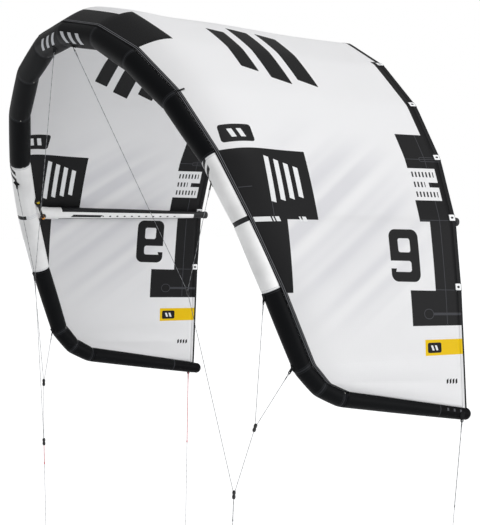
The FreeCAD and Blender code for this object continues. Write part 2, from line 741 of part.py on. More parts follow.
def bead(centre, direction, size, sides, waist=BEAD_WAIST):
    """A turned bead: two lobes with a waist between them, or one lobe where the waist is 1."""
    radius, half = size[0] / 2, size[1] / 2
    lower = [(radius * BEAD_NOSE, -half), (radius, -half / 2)]
    upper = [(reach, -height) for reach, height in lower[::-1]]
    return turned(lower + ([(radius * waist, 0)] if waist < 1 else []) + upper, sides, centre, direction)


def bead_direction(name):
    return unit(BEADS["main"] - BEADS[name]) if name != "main" else unit(FRONT_LEAN)


def tab(name, pull_to):
    """A webbing tab with its pad; also the centre of its hole, its pull and its width way."""
    piece, along_mm, turn = TABS[name]
    foot, out = tube_point(piece, along_mm, turn, TAB_CLEARANCE + TAB_THICKNESS / 2)
    pull = unit(pull_to - foot)
    normal = unit(out - pull * out.dot(pull))
    sideways = normal.cross(pull)
    plate = block(foot + pull * ((TAB_LENGTH - TAB_SEWN) / 2), pull, sideways,
                  (TAB_LENGTH + TAB_SEWN, TAB_WIDTH, TAB_THICKNESS))
    nose = foot + pull * TAB_LENGTH
    half = normal * (TAB_THICKNESS / 2)
    plate = joined([plate, rod(nose - half, nose + half, TAB_WIDTH)])
    plate = plate.cut(rod(nose - half * 2, nose + half * 2, TAB_HOLE))
    wall = EDGE.solid(max(piece - 1, 0), min(piece + 2, TIP_END), TAB_CLEARANCE)
    sewn_way = unit(pull - out * pull.dot(out))
    depth = PAD_SIZE[0] / 4
    pad = block(foot + out * ((PAD_THICKNESS - depth) / 2), sewn_way, out.cross(sewn_way),
                PAD_SIZE + (PAD_THICKNESS + depth,)).cut(wall)
    return joined([plate.cut(wall), pad]), nose, pull, sideways


def eye(hole, pull, sideways, diameter):
    """The eye of a line through a tab's hole, one strand on each side of the tab."""
    normal = pull.cross(sideways)
    meeting = hole + pull * EYE_LENGTH
    reach = normal * (TAB_THICKNESS / 2 + EYE_CLEARANCE + diameter / 2)
    strands = [cord(hole + reach * way, meeting, diameter) for way in (1, -1)]
    across = unit(normal) * (reach.Length + diameter / 2)
    return joined(strands + [cord(hole - across, hole + across, diameter)]), meeting


def make_bridle():
    tabs = []
    solid_beads = {name: bead(BEADS[name], bead_direction(name), BEAD_SIZES[name], BEAD_SIDES)
                   for name in BEADS}
    for upper, lower in BRIDLE:
        if upper in TABS:
            webbing, hole, pull, sideways = tab(upper, BEADS[lower])
            tabs.append(webbing)
            loop, start = eye(hole, pull, sideways, LINE_DIAMETER)
            line = joined([cord(start, BEADS[lower], LINE_DIAMETER), loop]).cut(solid_beads[lower])
        else:
            line = cord(BEADS[upper], BEADS[lower], LINE_DIAMETER)
            line = line.cut(solid_beads[upper]).cut(solid_beads[lower])
        for name, side in SIDES:
            export("bridle_" + upper + "_to_" + lower + "_" + name, sided(line, side))
    tabs.append(tab("tip", tab_foot("tip") + BACK_LEAN)[0])
    export("bridle_tabs", *[sided(one, side) for _, side in SIDES for one in tabs])
    export("bridle_beads", *[sided(one, side) for _, side in SIDES for one in solid_beads.values()])


def tab_foot(name):
    piece, along_mm, turn = TABS[name]
    return tube_point(piece, along_mm, turn, TAB_CLEARANCE + TAB_THICKNESS / 2)[0]


# --- the four lines --------------------------------------------------------------------------

def hanging_line(name, top, lean, knot_z, end_z, crown):
    """A pigtail down to its knot, then the flying line down to its end knot and its short tail."""
    lean = unit(lean)
    knot_at = top + lean * ((knot_z - top.z) / lean.z)
    end_at = top + lean * ((end_z - top.z) / lean.z)
    knots = [bead(at, lean, KNOT_SIZE, KNOT_SIDES, 1) for at in (knot_at, end_at)]
    pigtail = joined([cord(top, knot_at, PIGTAIL_DIAMETER)] + crown).cut(knots[0])
    line = cord(knot_at, end_at + lean * END_TAIL, LINE_DIAMETER).cut(knots[0]).cut(knots[1])
    for side_name, side in SIDES:
        export(name + "_pigtail_" + side_name, sided(pigtail, side))
        export(name + "_line_" + side_name, sided(line, side))
        export(name + "_line_knots_" + side_name, *[sided(knot, side) for knot in knots])


def make_lines():
    lean = unit(FRONT_LEAN)
    under = BEADS["main"] + lean * (BEAD_SIZES["main"][1] / 2)
    print("front swing", under)
    hanging_line("front", under + lean * SWING_GAP, lean, FRONT_KNOT_Z, FRONT_END_Z, [])
    _, hole, pull, sideways = tab("tip", tab_foot("tip") + BACK_LEAN)
    loop, start = eye(hole, pull, sideways, PIGTAIL_DIAMETER)
    print("back swing", hole, "axis", pull.cross(sideways))
    hanging_line("back", start, BACK_LEAN, BACK_KNOT_Z, BACK_END_Z, [loop])


STRUTS = {kind: strut_tube(kind) for kind in ("center", "side")}

os.makedirs("parts", exist_ok=True)
make_leading_edge()
make_canopy()
make_struts()
make_hoses()
make_valve()
make_bridle()
make_lines()
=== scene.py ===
# %% [markdown]
# # An inflatable kitesurf kite
# The kite hangs in its lines as it flies: a curved tube blown up hard at the front, light cloth
# stretched behind it, and three thinner tubes that keep the cloth in shape. The frame already holds
# every piece at its real size. Here each piece gets its final surface.

# %% Load the frame
import math

import bpy
import numpy as np
from mathutils import Matrix, Vector


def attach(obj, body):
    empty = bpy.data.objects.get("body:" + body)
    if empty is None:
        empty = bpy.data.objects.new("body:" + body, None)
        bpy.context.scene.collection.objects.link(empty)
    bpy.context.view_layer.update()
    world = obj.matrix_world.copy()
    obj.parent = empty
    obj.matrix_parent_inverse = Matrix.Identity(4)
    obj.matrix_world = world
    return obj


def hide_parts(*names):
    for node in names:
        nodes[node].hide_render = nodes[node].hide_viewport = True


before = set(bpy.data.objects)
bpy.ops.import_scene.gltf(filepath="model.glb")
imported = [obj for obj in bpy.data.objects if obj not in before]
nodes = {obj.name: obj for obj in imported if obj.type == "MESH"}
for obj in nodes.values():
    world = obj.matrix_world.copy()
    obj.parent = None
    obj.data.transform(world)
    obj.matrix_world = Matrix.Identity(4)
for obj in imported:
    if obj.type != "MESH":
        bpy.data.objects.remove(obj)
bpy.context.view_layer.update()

scene = bpy.context.scene
bpy.ops.object.select_all(action="DESELECT")

# %% [markdown]
# ## Camera
# A long lens from beside the left wing, a little above the middle of the kite, so that the near
# wing shows its outer face and the far wing its inner face.

# %% Camera
VIEW_AZIMUTH, VIEW_TILT = math.radians(60.9), math.radians(-2.22)
camera_data = bpy.data.cameras.new("camera")
camera = bpy.data.objects.new("camera", camera_data)
scene.collection.objects.link(camera)
camera_data.sensor_fit, camera_data.sensor_width, camera_data.lens = "HORIZONTAL", 36, 150
camera_data.clip_end = 200
camera.location = (10.901, -4.902, -0.899)
looking = Vector((-math.sin(VIEW_AZIMUTH) * math.cos(VIEW_TILT),
                  math.cos(VIEW_AZIMUTH) * math.cos(VIEW_TILT), math.sin(VIEW_TILT)))
camera.rotation_euler = looking.to_track_quat("-Z", "Y").to_euler()
scene.camera = camera
print("camera", [round(value, 3) for value in camera.location], camera_data.lens, "mm")

# %% [markdown]
# ## Colours and nodes
# Cloth makers give colours as sRGB hex values, and Blender's shaders want linear light. One
# function turns one into the other. Another adds a node, sets its sockets and links them. Every
# cloth, plastic and cord ends alike, in a tone and a small bump, so that end is written once.

# %% Colour and node helpers
def colour(hex_value):
    """A linear RGBA colour from an sRGB hex value."""
    channels = [int(hex_value[place:place + 2], 16) / 255 for place in (1, 3, 5)]
    linear = [c / 12.92 if c <= 0.04045 else ((c + 0.055) / 1.055) ** 2.4 for c in channels]
    return (*linear, 1.0)


def add(tree, kind, inputs=(), **settings):
    """A node with its settings. An input is a value, a socket, or a node, for its first output."""
    node = tree.nodes.new("ShaderNode" + kind)
    for name, value in settings.items():
        setattr(node, name, value)
    for socket, value in dict(inputs).items():
        if isinstance(value, bpy.types.Node):
            value = value.outputs[0]
        if isinstance(value, bpy.types.NodeSocket):
            tree.links.new(value, node.inputs[socket])
        else:
            node.inputs[socket].default_value = value
    return node


def material(name):
    """An empty node material and its tree."""
    made = bpy.data.materials.new(name)
    made.use_nodes = True
    made.node_tree.nodes.clear()
    return made, made.node_tree


def surfaced(made, tone, height, strength, distance, sockets):
    """Ends a material: its tone, a bump of a strength and a depth in metres, and other sockets."""
    tree = made.node_tree
    bump = add(tree, "Bump", {"Strength": strength, "Distance": distance, "Height": height})
    shader = add(tree, "BsdfPrincipled", {"Base Color": tone, "Normal": bump, **sockets})
    add(tree, "OutputMaterial", {"Surface": shader})
    return made


def printed(tree, tone, layers):
    """Each colour laid over the last where its mask is 1; a layer is (hex or colour, mask)."""
    for tint, mask in layers:
        tint = colour(tint) if isinstance(tint, str) else tint
        tone = add(tree, "Mix", {0: mask, 6: tone, 7: tint}, data_type="RGBA").outputs[2]
    return tone


def dimmed(hex_value, share):
    """A colour darkened to a share of its light."""
    return tuple(channel * share for channel in colour(hex_value)[:3]) + (1.0,)


# %% [markdown]
# ## The shape of the wing
# The front tube is a row of straight tapered pieces. Each joint of the tube carries a rib of the
# cloth, from the seam on the tube to the tail. These are the sizes that the frame was built to,
# in millimetres, and every piece of cloth below is placed from them.

# %% Sizes of the tube and the ribs
MM = 0.001
MIDDLE_DIAMETER = 154
TUBE_PIECES = (
    (401, 7.1, 29, 148), (386, 23.2, 34, 144), (407, 35.6, 80, 140), (404, 51.1, 107, 136),
    (374, 66.1, 116, 132), (378, 78.5, 126, 118), (427, 83.0, 162, 108), (113, 85.3, 102, 104),
    (65, 86.3, 132, 98), (130, 87.9, 827, 72),
)
WHITE_FROM, WHITE_TO, TIP_FROM, TIP_END, STRUT_RIB = 4, 6, 9, 10, 5
RIB_STATIONS = (0.1, 0.25, 0.5, 0.75)
RIBS = (
    (-30, (95, 89, 61, 26), 16, 0), (-30, (90, 84, 55, 20), 28, 10),
    (-10, (72, 66, 40, 9), 39, 26), (-10, (58, 52, 28, 3), 42, 43),
    (-15, (43, 36, 15, 1), 47, 30), (-10, (18, 20, 14, 6), 52, 23),
    (20, (23, 24, 16, 7), 36, 36), (30, (15, 17, 13, 8), 24, -22),
    (30, (10, 11, 9, 5), 23, 10), (50, (0, 0, 0, 0), 26, 93),
)
LAST_RIB = len(RIBS) - 1
CLOTH_THICKNESS, SEAM_CLEARANCE, TAIL_Y, HEM_WIDTH = 2.0, 2.5, 1713, 28

# %% The tube's joints and the frame at each joint
UP, BACK = Vector((0, 0, 1)), Vector((0, 1, 0))


def tube_joints():
    points = [Vector((0, 0, 0))]
    for length, drop, sweep, _ in TUBE_PIECES:
        slope = math.radians(drop)
        step = Vector((length * math.cos(slope), sweep, -length * math.sin(slope)))
        points.append(points[-1] + step)
    return points


JOINTS = tube_joints()
RADII = [MIDDLE_DIAMETER / 2] + [piece[3] / 2 for piece in TUBE_PIECES]
RUNS = [(b - a).normalized() for a, b in zip(JOINTS, JOINTS[1:])]


def level_outward(drop):
    return Vector((math.sin(drop), 0, math.cos(drop)))


def joint_frame(joint):
    """Outward and backward directions at a joint, and its drop."""
    if joint == 0:
        return UP, BACK, 0.0
    last = min(joint, len(RUNS) - 1)
    along = (RUNS[joint - 1] + RUNS[last]).normalized()
    drop = math.radians((TUBE_PIECES[joint - 1][1] + TUBE_PIECES[last][1]) / 2)
    outward = level_outward(drop)
    outward = (outward - along * outward.dot(along)).normalized()
    return outward, outward.cross(along), drop


# %% Ribs as smooth curves
RIB_SAMPLES = 160


def smooth_curve(points, samples):
    """Evenly spaced points on a natural cubic spline through a few points."""
    points = np.array([tuple(point) for point in points])
    knots = np.concatenate([[0], np.cumsum(np.linalg.norm(np.diff(points, axis=0), axis=1))])
    gaps, count = np.diff(knots), len(points)
    system, right = np.eye(count), np.zeros((count, 3))
    for row in range(1, count - 1):
        system[row, row - 1:row + 2] = gaps[row - 1], 2 * (gaps[row - 1] + gaps[row]), gaps[row]
        right[row] = 6 * ((points[row + 1] - points[row]) / gaps[row]
                          - (points[row] - points[row - 1]) / gaps[row - 1])
    bend = np.linalg.solve(system, right)
    at = np.linspace(0, knots[-1], 8 * samples)
    piece = np.clip(np.searchsorted(knots, at, side="right") - 1, 0, count - 2)
    left, gap = (at - knots[piece])[:, None], gaps[piece][:, None]
    start, end, b0, b1 = points[piece], points[piece + 1], bend[piece], bend[piece + 1]
    line = (start + left * ((end - start) / gap - gap * (2 * b0 + b1) / 6)
            + left ** 2 * b0 / 2 + left ** 3 * (b1 - b0) / (6 * gap))
    walked = np.concatenate([[0], np.cumsum(np.linalg.norm(np.diff(line, axis=0), axis=1))])
    even = np.linspace(0, walked[-1], samples + 1)
    spread = [np.interp(even, walked, line[:, axis]) for axis in range(3)]
    return np.stack(spread, axis=1), walked[-1]


def rib_curve(rib):
    seam_turn, bows, tail_out, tail_down = RIBS[rib]
    outward, backward, drop = joint_frame(rib)
    out = level_outward(drop)
    down = Vector((out.z, 0, -out.x))
    axis, turn = JOINTS[rib], math.radians(seam_turn)
    tail = Vector((axis.x, TAIL_Y - HEM_WIDTH, axis.z)) + out * tail_out + down * tail_down
    reach = RADII[rib] + SEAM_CLEARANCE + CLOTH_THICKNESS
    seam = axis + (outward * math.cos(turn) + backward * math.sin(turn)) * reach
    line = [seam] + [seam.lerp(tail, share) + out * bow for share, bow in zip(RIB_STATIONS, bows)]
    return smooth_curve(line + [tail], RIB_SAMPLES)


RIB_CURVES = [rib_curve(rib) for rib in range(LAST_RIB + 1)]
OUTWARDS = [np.array(level_outward(joint_frame(rib)[2])) for rib in range(LAST_RIB + 1)]
print("chords in mm", [round(length) for _, length in RIB_CURVES])

# %% A point of the cloth
SEAM_SOFTNESS = 0.05


def blend_ribs(table, place):
    """A value between two ribs; place is 0 at the middle and LAST_RIB at the tip."""
    rib = min(int(place), LAST_RIB - 1)
    share = place - rib
    return table[rib] * (1 - share) + table[rib + 1] * share


def span_mirror(place):
    return abs(place), (-1.0 if place < 0 else 1.0)


def raw_cloth(place, share, lift):
    """A point at a place along the span and a share of the chord, lifted off the outer face."""
    place, side = span_mirror(place)
    place = min(place, LAST_RIB)
    at = share * RIB_SAMPLES
    low = min(int(at), RIB_SAMPLES - 1)
    lines = [line[low] + (line[low + 1] - line[low]) * (at - low) for line, _ in RIB_CURVES]
    point = blend_ribs(lines, place) + blend_ribs(OUTWARDS, place) * lift
    return np.array((point[0] * side, point[1], point[2]))


def cloth_point(place, share, lift=0.0):
    """As raw_cloth, with the fold at each rib rounded off, in metres."""
    reach = min(SEAM_SOFTNESS, LAST_RIB - abs(place))
    near = raw_cloth(place - reach, share, lift) + raw_cloth(place + reach, share, lift)
    return (near + 2 * raw_cloth(place, share, lift)) / 4 * MM


def chord(place):
    return blend_ribs([length for _, length in RIB_CURVES], min(abs(place), LAST_RIB)) * MM


SPAN_STEPS = [0.0] + list(np.cumsum([np.linalg.norm(b[0][RIB_SAMPLES // 2] - a[0][RIB_SAMPLES // 2])
                                     for a, b in zip(RIB_CURVES, RIB_CURVES[1:])]) * MM)


def span_reach(place):
    """How far along the cloth a place is from the middle, in metres, measured at half chord."""
    return math.copysign(blend_ribs(SPAN_STEPS, min(abs(place), LAST_RIB)), place)


print("half span along the cloth", round(SPAN_STEPS[-1], 3), "m")

# %% [markdown]
# ## A mesh from rows of points
# Cloth and inflated tubes have no flat faces to extrude from, so they are laid out as rows of
# points, like the warp and weft of the real cloth, and joined by four-sided faces. Each map gives
# every corner a place on the cloth in metres, which the materials read, so that a print or a
# seam follows the cloth wherever it bends.

# %% Mesh from rows
def from_rows(name, rows, maps=(), closed=False, capped=False):
    """A smooth mesh through rows of points. A closed row returns to its first point."""
    count = len(rows[0])
    across = count if closed else count - 1
    faces = []
    for row in range(len(rows) - 1):
        for column in range(across):
            following = (column + 1) % count
            faces.append((row * count + column, (row + 1) * count + column,
                          (row + 1) * count + following, row * count + following))
    if capped:
        faces.append(tuple(len(rows) * count - 1 - column for column in range(count)))
    mesh = bpy.data.meshes.new(name)
    mesh.from_pydata([tuple(point) for row in rows for point in row], [], faces)
    for map_name, values in maps:
        layer = mesh.uv_layers.new(name=map_name)
        for face, polygon in enumerate(mesh.polygons):
            row, column = divmod(face, across)
            corners = ((row, column), (row + 1, column), (row + 1, column + 1), (row, column + 1))
            if row >= len(rows) - 1:
                corners = [(row, count - 1 - here) for here in range(count)]
            for loop, (r, c) in zip(polygon.loop_indices, corners):
                layer.data[loop].uv = values[r][c]
    mesh.polygons.foreach_set("use_smooth", [True] * len(mesh.polygons))
    made = bpy.data.objects.new(name, mesh)
    scene.collection.objects.link(made)
    return made


def other_side(rows, maps, closed=False):
    """The same piece for the other wing, with its faces still pointing outwards."""
    flipped = [[(-x, y, z) for x, y, z in row] for row in rows]
    flipped = [row[:1] + row[:0:-1] if closed else row[::-1] for row in flipped]
    return flipped, [(name, [row[::-1] for row in values]) for name, values in maps]


def for_each_wing(name, rows, maps, **settings):
    """The left piece, then the right one."""
    flipped, flipped_maps = other_side(rows, maps, settings.get("closed", False))
    return (from_rows(name + "_left", rows, maps, **settings),
            from_rows(name + "_right", flipped, flipped_maps, **settings))


def only(piece):
    """Selects one object and makes it the active one."""
    bpy.ops.object.select_all(action="DESELECT")
    piece.select_set(True)
    bpy.context.view_layer.objects.active = piece
    return piece


def thicken(piece, thickness, offset=-1.0):
    """Gives a sheet its wall, inwards from its outer face where the offset is -1."""
    only(piece)
    wall = piece.modifiers.new("wall", "SOLIDIFY")
    wall.thickness, wall.offset = thickness, offset
    bpy.ops.object.modifier_apply(modifier=wall.name)
    return piece


def finish_piece(piece, look, stands_for=(), body="kite"):
    """Gives a piece its material and its body, and hides the plain pieces that it stands for."""
    piece.data.materials.clear()
    piece.data.materials.append(look)
    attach(piece, body)
    if stands_for:
        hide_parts(*stands_for)
    return piece


def both(name):
    return [name + "_left", name + "_right"]


# %% [markdown]
# ## Shapes for prints
# A print on cloth has a hard edge, so each one is a mask that is 1 inside its outline and 0
# outside. Rounded boxes make nearly all of them: the distance from a box, less its corner radius,
# is below zero inside. Slanted bars are boxes whose place has been sheared first.

# %% Masks
def rounded_box(tree, place, centre, half, radius=0.0005):
    """1 inside a box with rounded corners, given by its centre and its half sizes."""
    moved = add(tree, "VectorMath", {0: place, 1: (*centre, 0)}, operation="SUBTRACT")
    folded = add(tree, "VectorMath", {0: moved}, operation="ABSOLUTE")
    past = add(tree, "VectorMath",
               {0: folded, 1: (half[0] - radius, half[1] - radius, 0)}, operation="SUBTRACT")
    outside = add(tree, "VectorMath", {0: past, 1: (0, 0, 0)}, operation="MAXIMUM")
    away = add(tree, "VectorMath", {0: outside}, operation="LENGTH")
    inside = add(tree, "Math", {0: away.outputs["Value"], 1: radius}, operation="LESS_THAN")
    return inside


def span_box(tree, place, low, high, radius=0.0005):
    """A rounded box from its lowest to its highest corner."""
    centre = [(a + b) / 2 for a, b in zip(low, high)]
    return rounded_box(tree, place, centre, [(b - a) / 2 for a, b in zip(low, high)], radius)


def any_of(tree, masks):
    total = masks[0]
    for mask in masks[1:]:
        total = add(tree, "Math", {0: total, 1: mask}, operation="MAXIMUM")
    return total


def span_boxes(tree, place, boxes, radius=0.0005):
    return any_of(tree, [span_box(tree, place, *box, radius) for box in boxes])


def cut_out(tree, mask, holes):
    for hole in holes:
        mask = add(tree, "Math", {0: mask, 1: hole}, operation="SUBTRACT", use_clamp=True)
    return mask


def phase(tree, value, pitch):
    """How far a length is through its turn of a pattern with this pitch, from 0 to 1."""
    turns = add(tree, "Math", {0: value, 1: 1 / pitch}, operation="MULTIPLY")
    return add(tree, "Math", {0: turns}, operation="FRACT")


def slanted(tree, place, shift):
    """The place sheared along its first axis, by a shift for each metre along its second."""
    parts = add(tree, "SeparateXYZ", {0: place}).outputs
    moved = add(tree, "Math", {0: parts[1], 1: shift, 2: parts[0]}, operation="MULTIPLY_ADD")
    return add(tree, "CombineXYZ", {0: moved, 1: parts[1]})


# %% [markdown]
# ## Canopy cloth
# The canopy of such a kite is ripstop polyester: a light plain weave with a thicker thread every
# few millimetres, coated and calendered, so it is smooth, slightly shiny and lets a little light
# through. The prints are dyed into it, so they show on both faces. A thin diffuse surface that
# passes part of the light stands for it, with the ripstop grid as a bump. The real grid is 5 mm,
# too fine to show from here, so it is drawn at 12 mm.

# %% Where the prints lie, in metres
# Each box is (distance out from the middle, distance forward of the tail), lowest then highest.
PANEL = (((1.712, 0.905), (2.122, 3.0)), ((2.12, 1.104), (2.54, 3.0)))
TAIL_BLOCKS = (
    ((0.80, -0.2), (1.54, 0.040)), ((1.531, -0.2), (1.78, 0.221)), ((1.78, -0.2), (1.99, 0.034)),
    ((1.871, -0.2), (1.902, 0.099)), ((1.987, -0.2), (2.121, 0.223)),
    ((2.118, -0.2), (2.52, 0.155)), ((2.516, -0.2), (2.728, 0.330)),
)
NOSE_BLOCKS = (((-0.02, -0.2), (0.437, 0.156)), ((0.43, -0.2), (0.852, 0.238)))
YELLOW_BOX = ((2.811, -0.0145), (2.909, 0.249))
YELLOW_TAG = ((2.829, 0.136), (2.892, 0.232))
NOSE_TAG = ((1.558, 1.211), (1.670, 1.411))
DIGIT_CENTRE = (2.318, 0.352)
STRUT_MARKS = [((2.105, near), (2.133, far)) for near, far in (
    (0.026, 0.128), (0.137, 0.146), (0.155, 0.180), (0.305, 0.315), (0.325, 0.350))]
RING_LINE = 0.004
RIB_REACHES = [span_reach(rib) for rib in range(LAST_RIB + 1)]


# %% The size digit
def digit_mask(tree, place):
    """A nine with square shoulders, 200 by 300 mm, read from outside on both wings."""
    parts = add(tree, "SeparateXYZ", {0: place}).outputs
    side = add(tree, "Math", {0: parts[0]}, operation="SIGN")
    out = add(tree, "Math", {0: parts[0]}, operation="ABSOLUTE")
    back = add(tree, "Math", {0: DIGIT_CENTRE[1], 1: parts[1]}, operation="SUBTRACT")
    across = add(tree, "Math", {0: back, 1: side}, operation="MULTIPLY")
    down = add(tree, "Math", {0: DIGIT_CENTRE[0], 1: out}, operation="SUBTRACT")
    glyph = add(tree, "CombineXYZ", {0: across, 1: down})
    body = rounded_box(tree, glyph, (0, 0), (0.1, 0.15), 0.045)
    eye = rounded_box(tree, glyph, (0.0, 0.058), (0.041, 0.040), 0.014)
    gap = span_box(tree, glyph, (-0.2, -0.094), (0.041, -0.031), 0.016)
    corner = span_box(tree, glyph, (-0.2, -0.052), (-0.058, -0.034))
    foot = span_box(tree, slanted(tree, glyph, -0.3), (-0.13, -0.11), (-0.04, -0.075))
    return cut_out(tree, body, [eye, cut_out(tree, any_of(tree, [gap, corner]), [foot])])


# %% The generic motif that stands on each tag
def motif_mask(tree, place, box, lean=0.35):
    """Two slanted bars, in the middle of a box."""
    low, high = box
    centre = [(a + b) / 2 for a, b in zip(low, high)]
    tall, wide = (high[0] - low[0]) * 0.24, high[1] - low[1]
    centred = add(tree, "VectorMath", {0: place, 1: (*centre, 0)}, operation="SUBTRACT")
    parts = add(tree, "SeparateXYZ", {0: centred}).outputs
    moved = add(tree, "Math", {0: parts[0], 1: lean, 2: parts[1]}, operation="MULTIPLY_ADD")
    flat = add(tree, "CombineXYZ", {0: parts[0], 1: moved})
    return any_of(tree, [rounded_box(tree, flat, (0, shift * wide), (tall, wide * 0.075), 0.002)
                         for shift in (-0.14, 0.14)])


# %% Ripstop
WHITE_CLOTH, BLACK_CLOTH, YELLOW_CLOTH = "#F2F2F3", "#131315", "#F2CF04"
GRID_PITCH, GRID_SHARE, PASSES = 0.012, 0.14, 0.24


def ripstop(name):
    """Printed canopy cloth; reads both maps of the cloth."""
    made, tree = material(name)
    tail_place = add(tree, "UVMap", uv_map="from_tail")
    seam_place = add(tree, "UVMap", uv_map="from_seam")
    signs = add(tree, "SeparateXYZ", {0: tail_place}).outputs
    out = add(tree, "Math", {0: signs[0]}, operation="ABSOLUTE")
    tail = add(tree, "CombineXYZ", {0: out, 1: signs[1]})
    seam = add(tree, "VectorMath", {0: seam_place}, operation="ABSOLUTE")

    black = any_of(tree, [
        span_boxes(tree, tail, PANEL + TAIL_BLOCKS), span_boxes(tree, seam, NOSE_BLOCKS),
        span_box(tree, tail, *NOSE_TAG, 0.018), crown_bars(tree, tail), tip_ticks(tree, tail),
        digit_mask(tree, tail_place)])
    light = any_of(tree, [motif_mask(tree, tail, NOSE_TAG), panel_bars(tree, tail),
                          span_boxes(tree, seam, STRUT_MARKS)])
    edge = add(tree, "Math", {0: signs[1], 1: YELLOW_BOX[0][1]}, operation="LESS_THAN")
    tone = printed(tree, colour(WHITE_CLOTH), [
        ("#E4E4E7", streaks(tree, tail)), (BLACK_CLOTH, black),
        ("#44454A", stitch_lines(tree, tail, black)), ("#F2F3F4", light),
        ("#26272B", tick_rows(tree, tail)), (YELLOW_CLOTH, span_box(tree, tail, *YELLOW_BOX)),
        ("#121216", span_box(tree, tail, *YELLOW_TAG, 0.012)),
        ("#F2F3F4", motif_mask(tree, tail, YELLOW_TAG)), ("#131418", edge)])

    threads = [add(tree, "Math", {0: phase(tree, signs[axis], GRID_PITCH), 1: GRID_SHARE},
                   operation="LESS_THAN") for axis in (0, 1)]
    ripples = add(tree, "TexNoise", {"Vector": seam_place, "Scale": 5, "Detail": 2})
    raised = add(tree, "Math", {0: ripples, 1: 3.0, 2: any_of(tree, threads)},
                 operation="MULTIPLY_ADD")
    bump = add(tree, "Bump", {"Strength": 0.25, "Distance": 0.0006, "Height": raised})
    cloth = add(tree, "BsdfPrincipled",
                {"Base Color": tone, "Roughness": 0.5, "Specular IOR Level": 0.2, "Normal": bump})
    through = add(tree, "BsdfTranslucent", {"Color": tone, "Normal": bump})
    shader = add(tree, "MixShader", {0: PASSES, 1: cloth, 2: through})
    add(tree, "OutputMaterial", {"Surface": shader})
    return made


# %% The other prints of the cloth, and faint darker bands
def crown_bars(tree, place):
    """Three broad slanted bars over the crown of each wing, the longest in the middle."""
    boxes = (((0.84, 0.60), (1.44, 0.72)), ((0.88, 0.78), (1.52, 0.90)),
             ((1.00, 0.96), (1.50, 1.06)))
    return span_boxes(tree, slanted(tree, place, 0.42), boxes, 0.006)


def panel_bars(tree, place):
    """Four slanted bars that step down in length, on the black panel."""
    boxes = [((2.110, near), (end, near + 0.030)) for end, near in (
        (2.290, 0.975), (2.318, 1.035), (2.346, 1.095), (2.374, 1.155))]
    return span_boxes(tree, slanted(tree, place, 0.30), boxes, 0.001)


def tip_ticks(tree, place):
    """Four small slanted ticks by the tip's tail corner."""
    starts = [(3.0342 - 0.6 * near, near) for near in (0.032, 0.053, 0.074, 0.095)]
    return span_boxes(tree, slanted(tree, place, -0.6),
                      [((out, near), (out + 0.022, near + 0.013)) for out, near in starts])


def tick_rows(tree, place):
    """Three rows of short ticks in the white box by the tail."""
    parts = add(tree, "SeparateXYZ", {0: place}).outputs
    tick = add(tree, "Math", {0: phase(tree, parts[1], 0.024), 1: 0.45},
               operation="LESS_THAN")
    rows = span_boxes(tree, place, [((low, near), (low + 0.034, 0.203)) for low, near in (
        (1.803, 0.052), (1.868, 0.125), (1.931, 0.052))])
    return add(tree, "Math", {0: tick, 1: rows}, operation="MULTIPLY")


def stitch_lines(tree, place, black):
    """Seams that show on the black cloth near the tail, and the ring with its strap."""
    boxes = [((1.30, 0.083), (2.72, 0.087)), ((1.930, 1.285), (1.934, 1.385)),
             ((2.000, 1.180), (2.100, 1.184)), ((2.649, -0.1), (2.665, 0.178))]
    boxes += [((reach - 0.002, -0.1), (reach + 0.002, 0.4)) for reach in RIB_REACHES[4:7]]
    lines = [span_box(tree, place, *box) for box in boxes]
    for centre, half in (((2.657, 0.212), (0.031, 0.034)),
                         ((RIB_REACHES[4], 0.02), (0.016, 0.105))):
        inner = [side - RING_LINE for side in half]
        lines.append(cut_out(tree, rounded_box(tree, place, centre, half, half[0] - 0.0001),
                             [rounded_box(tree, place, centre, inner, inner[0] - 0.0001)]))
    return add(tree, "Math", {0: any_of(tree, lines), 1: black}, operation="MULTIPLY")


def streaks(tree, place):
    """Faint wide bands, a little darker than the cloth, that run aslant and fade out towards the
    seam and the tail.
    """
    leaning = add(tree, "VectorMath", {0: place, 1: (0.79, -0.61, 0)}, operation="DOT_PRODUCT")
    wave = add(tree, "TexNoise", {"W": leaning.outputs["Value"], "Scale": 7, "Detail": 1},
               noise_dimensions="1D")
    band = add(tree, "MapRange", {"Value": wave, "From Min": 0.35, "From Max": 0.65},
               interpolation_type="SMOOTHSTEP")
    away = add(tree, "VectorMath", {0: place, 1: (2.15, 0.75, 0)}, operation="DISTANCE")
    fade = add(tree, "MapRange",
               {"Value": away.outputs["Value"], "From Min": 0.25, "From Max": 0.75,
                "To Min": 1, "To Max": 0},
               interpolation_type="SMOOTHSTEP")
    return add(tree, "Math", {0: band, 1: fade}, operation="MULTIPLY")


canopy_cloth = ripstop("ripstop_polyester")
print("canopy material nodes", len(canopy_cloth.node_tree.nodes))

# %% [markdown]
# ## The canopy
# One sheet reaches from the seam to the tail and from tip to tip. Between two ribs the cloth is
# straight along the span; at a rib it folds a little, and between ribs the air lifts it slightly.

# %% Canopy sheet
SPAN_CUTS, CHORD_CUTS, BILLOW, CLOTH_LIFT = 10, 56, 6.0, -1.0
CLOTH_WALL, TAPE_WALL = 0.0008, 0.0006


def cloth_map(places, shares, from_tail):
    return [[(span_reach(place), (1 - share if from_tail else share) * chord(place))
             for place in places] for share in shares]


def billow(place, share):
    """How far the air lifts the cloth between two ribs, in millimetres."""
    between = abs(place) % 1
    return BILLOW * math.sin(math.pi * between) * math.sin(math.pi * min(share, 1)) ** 0.7


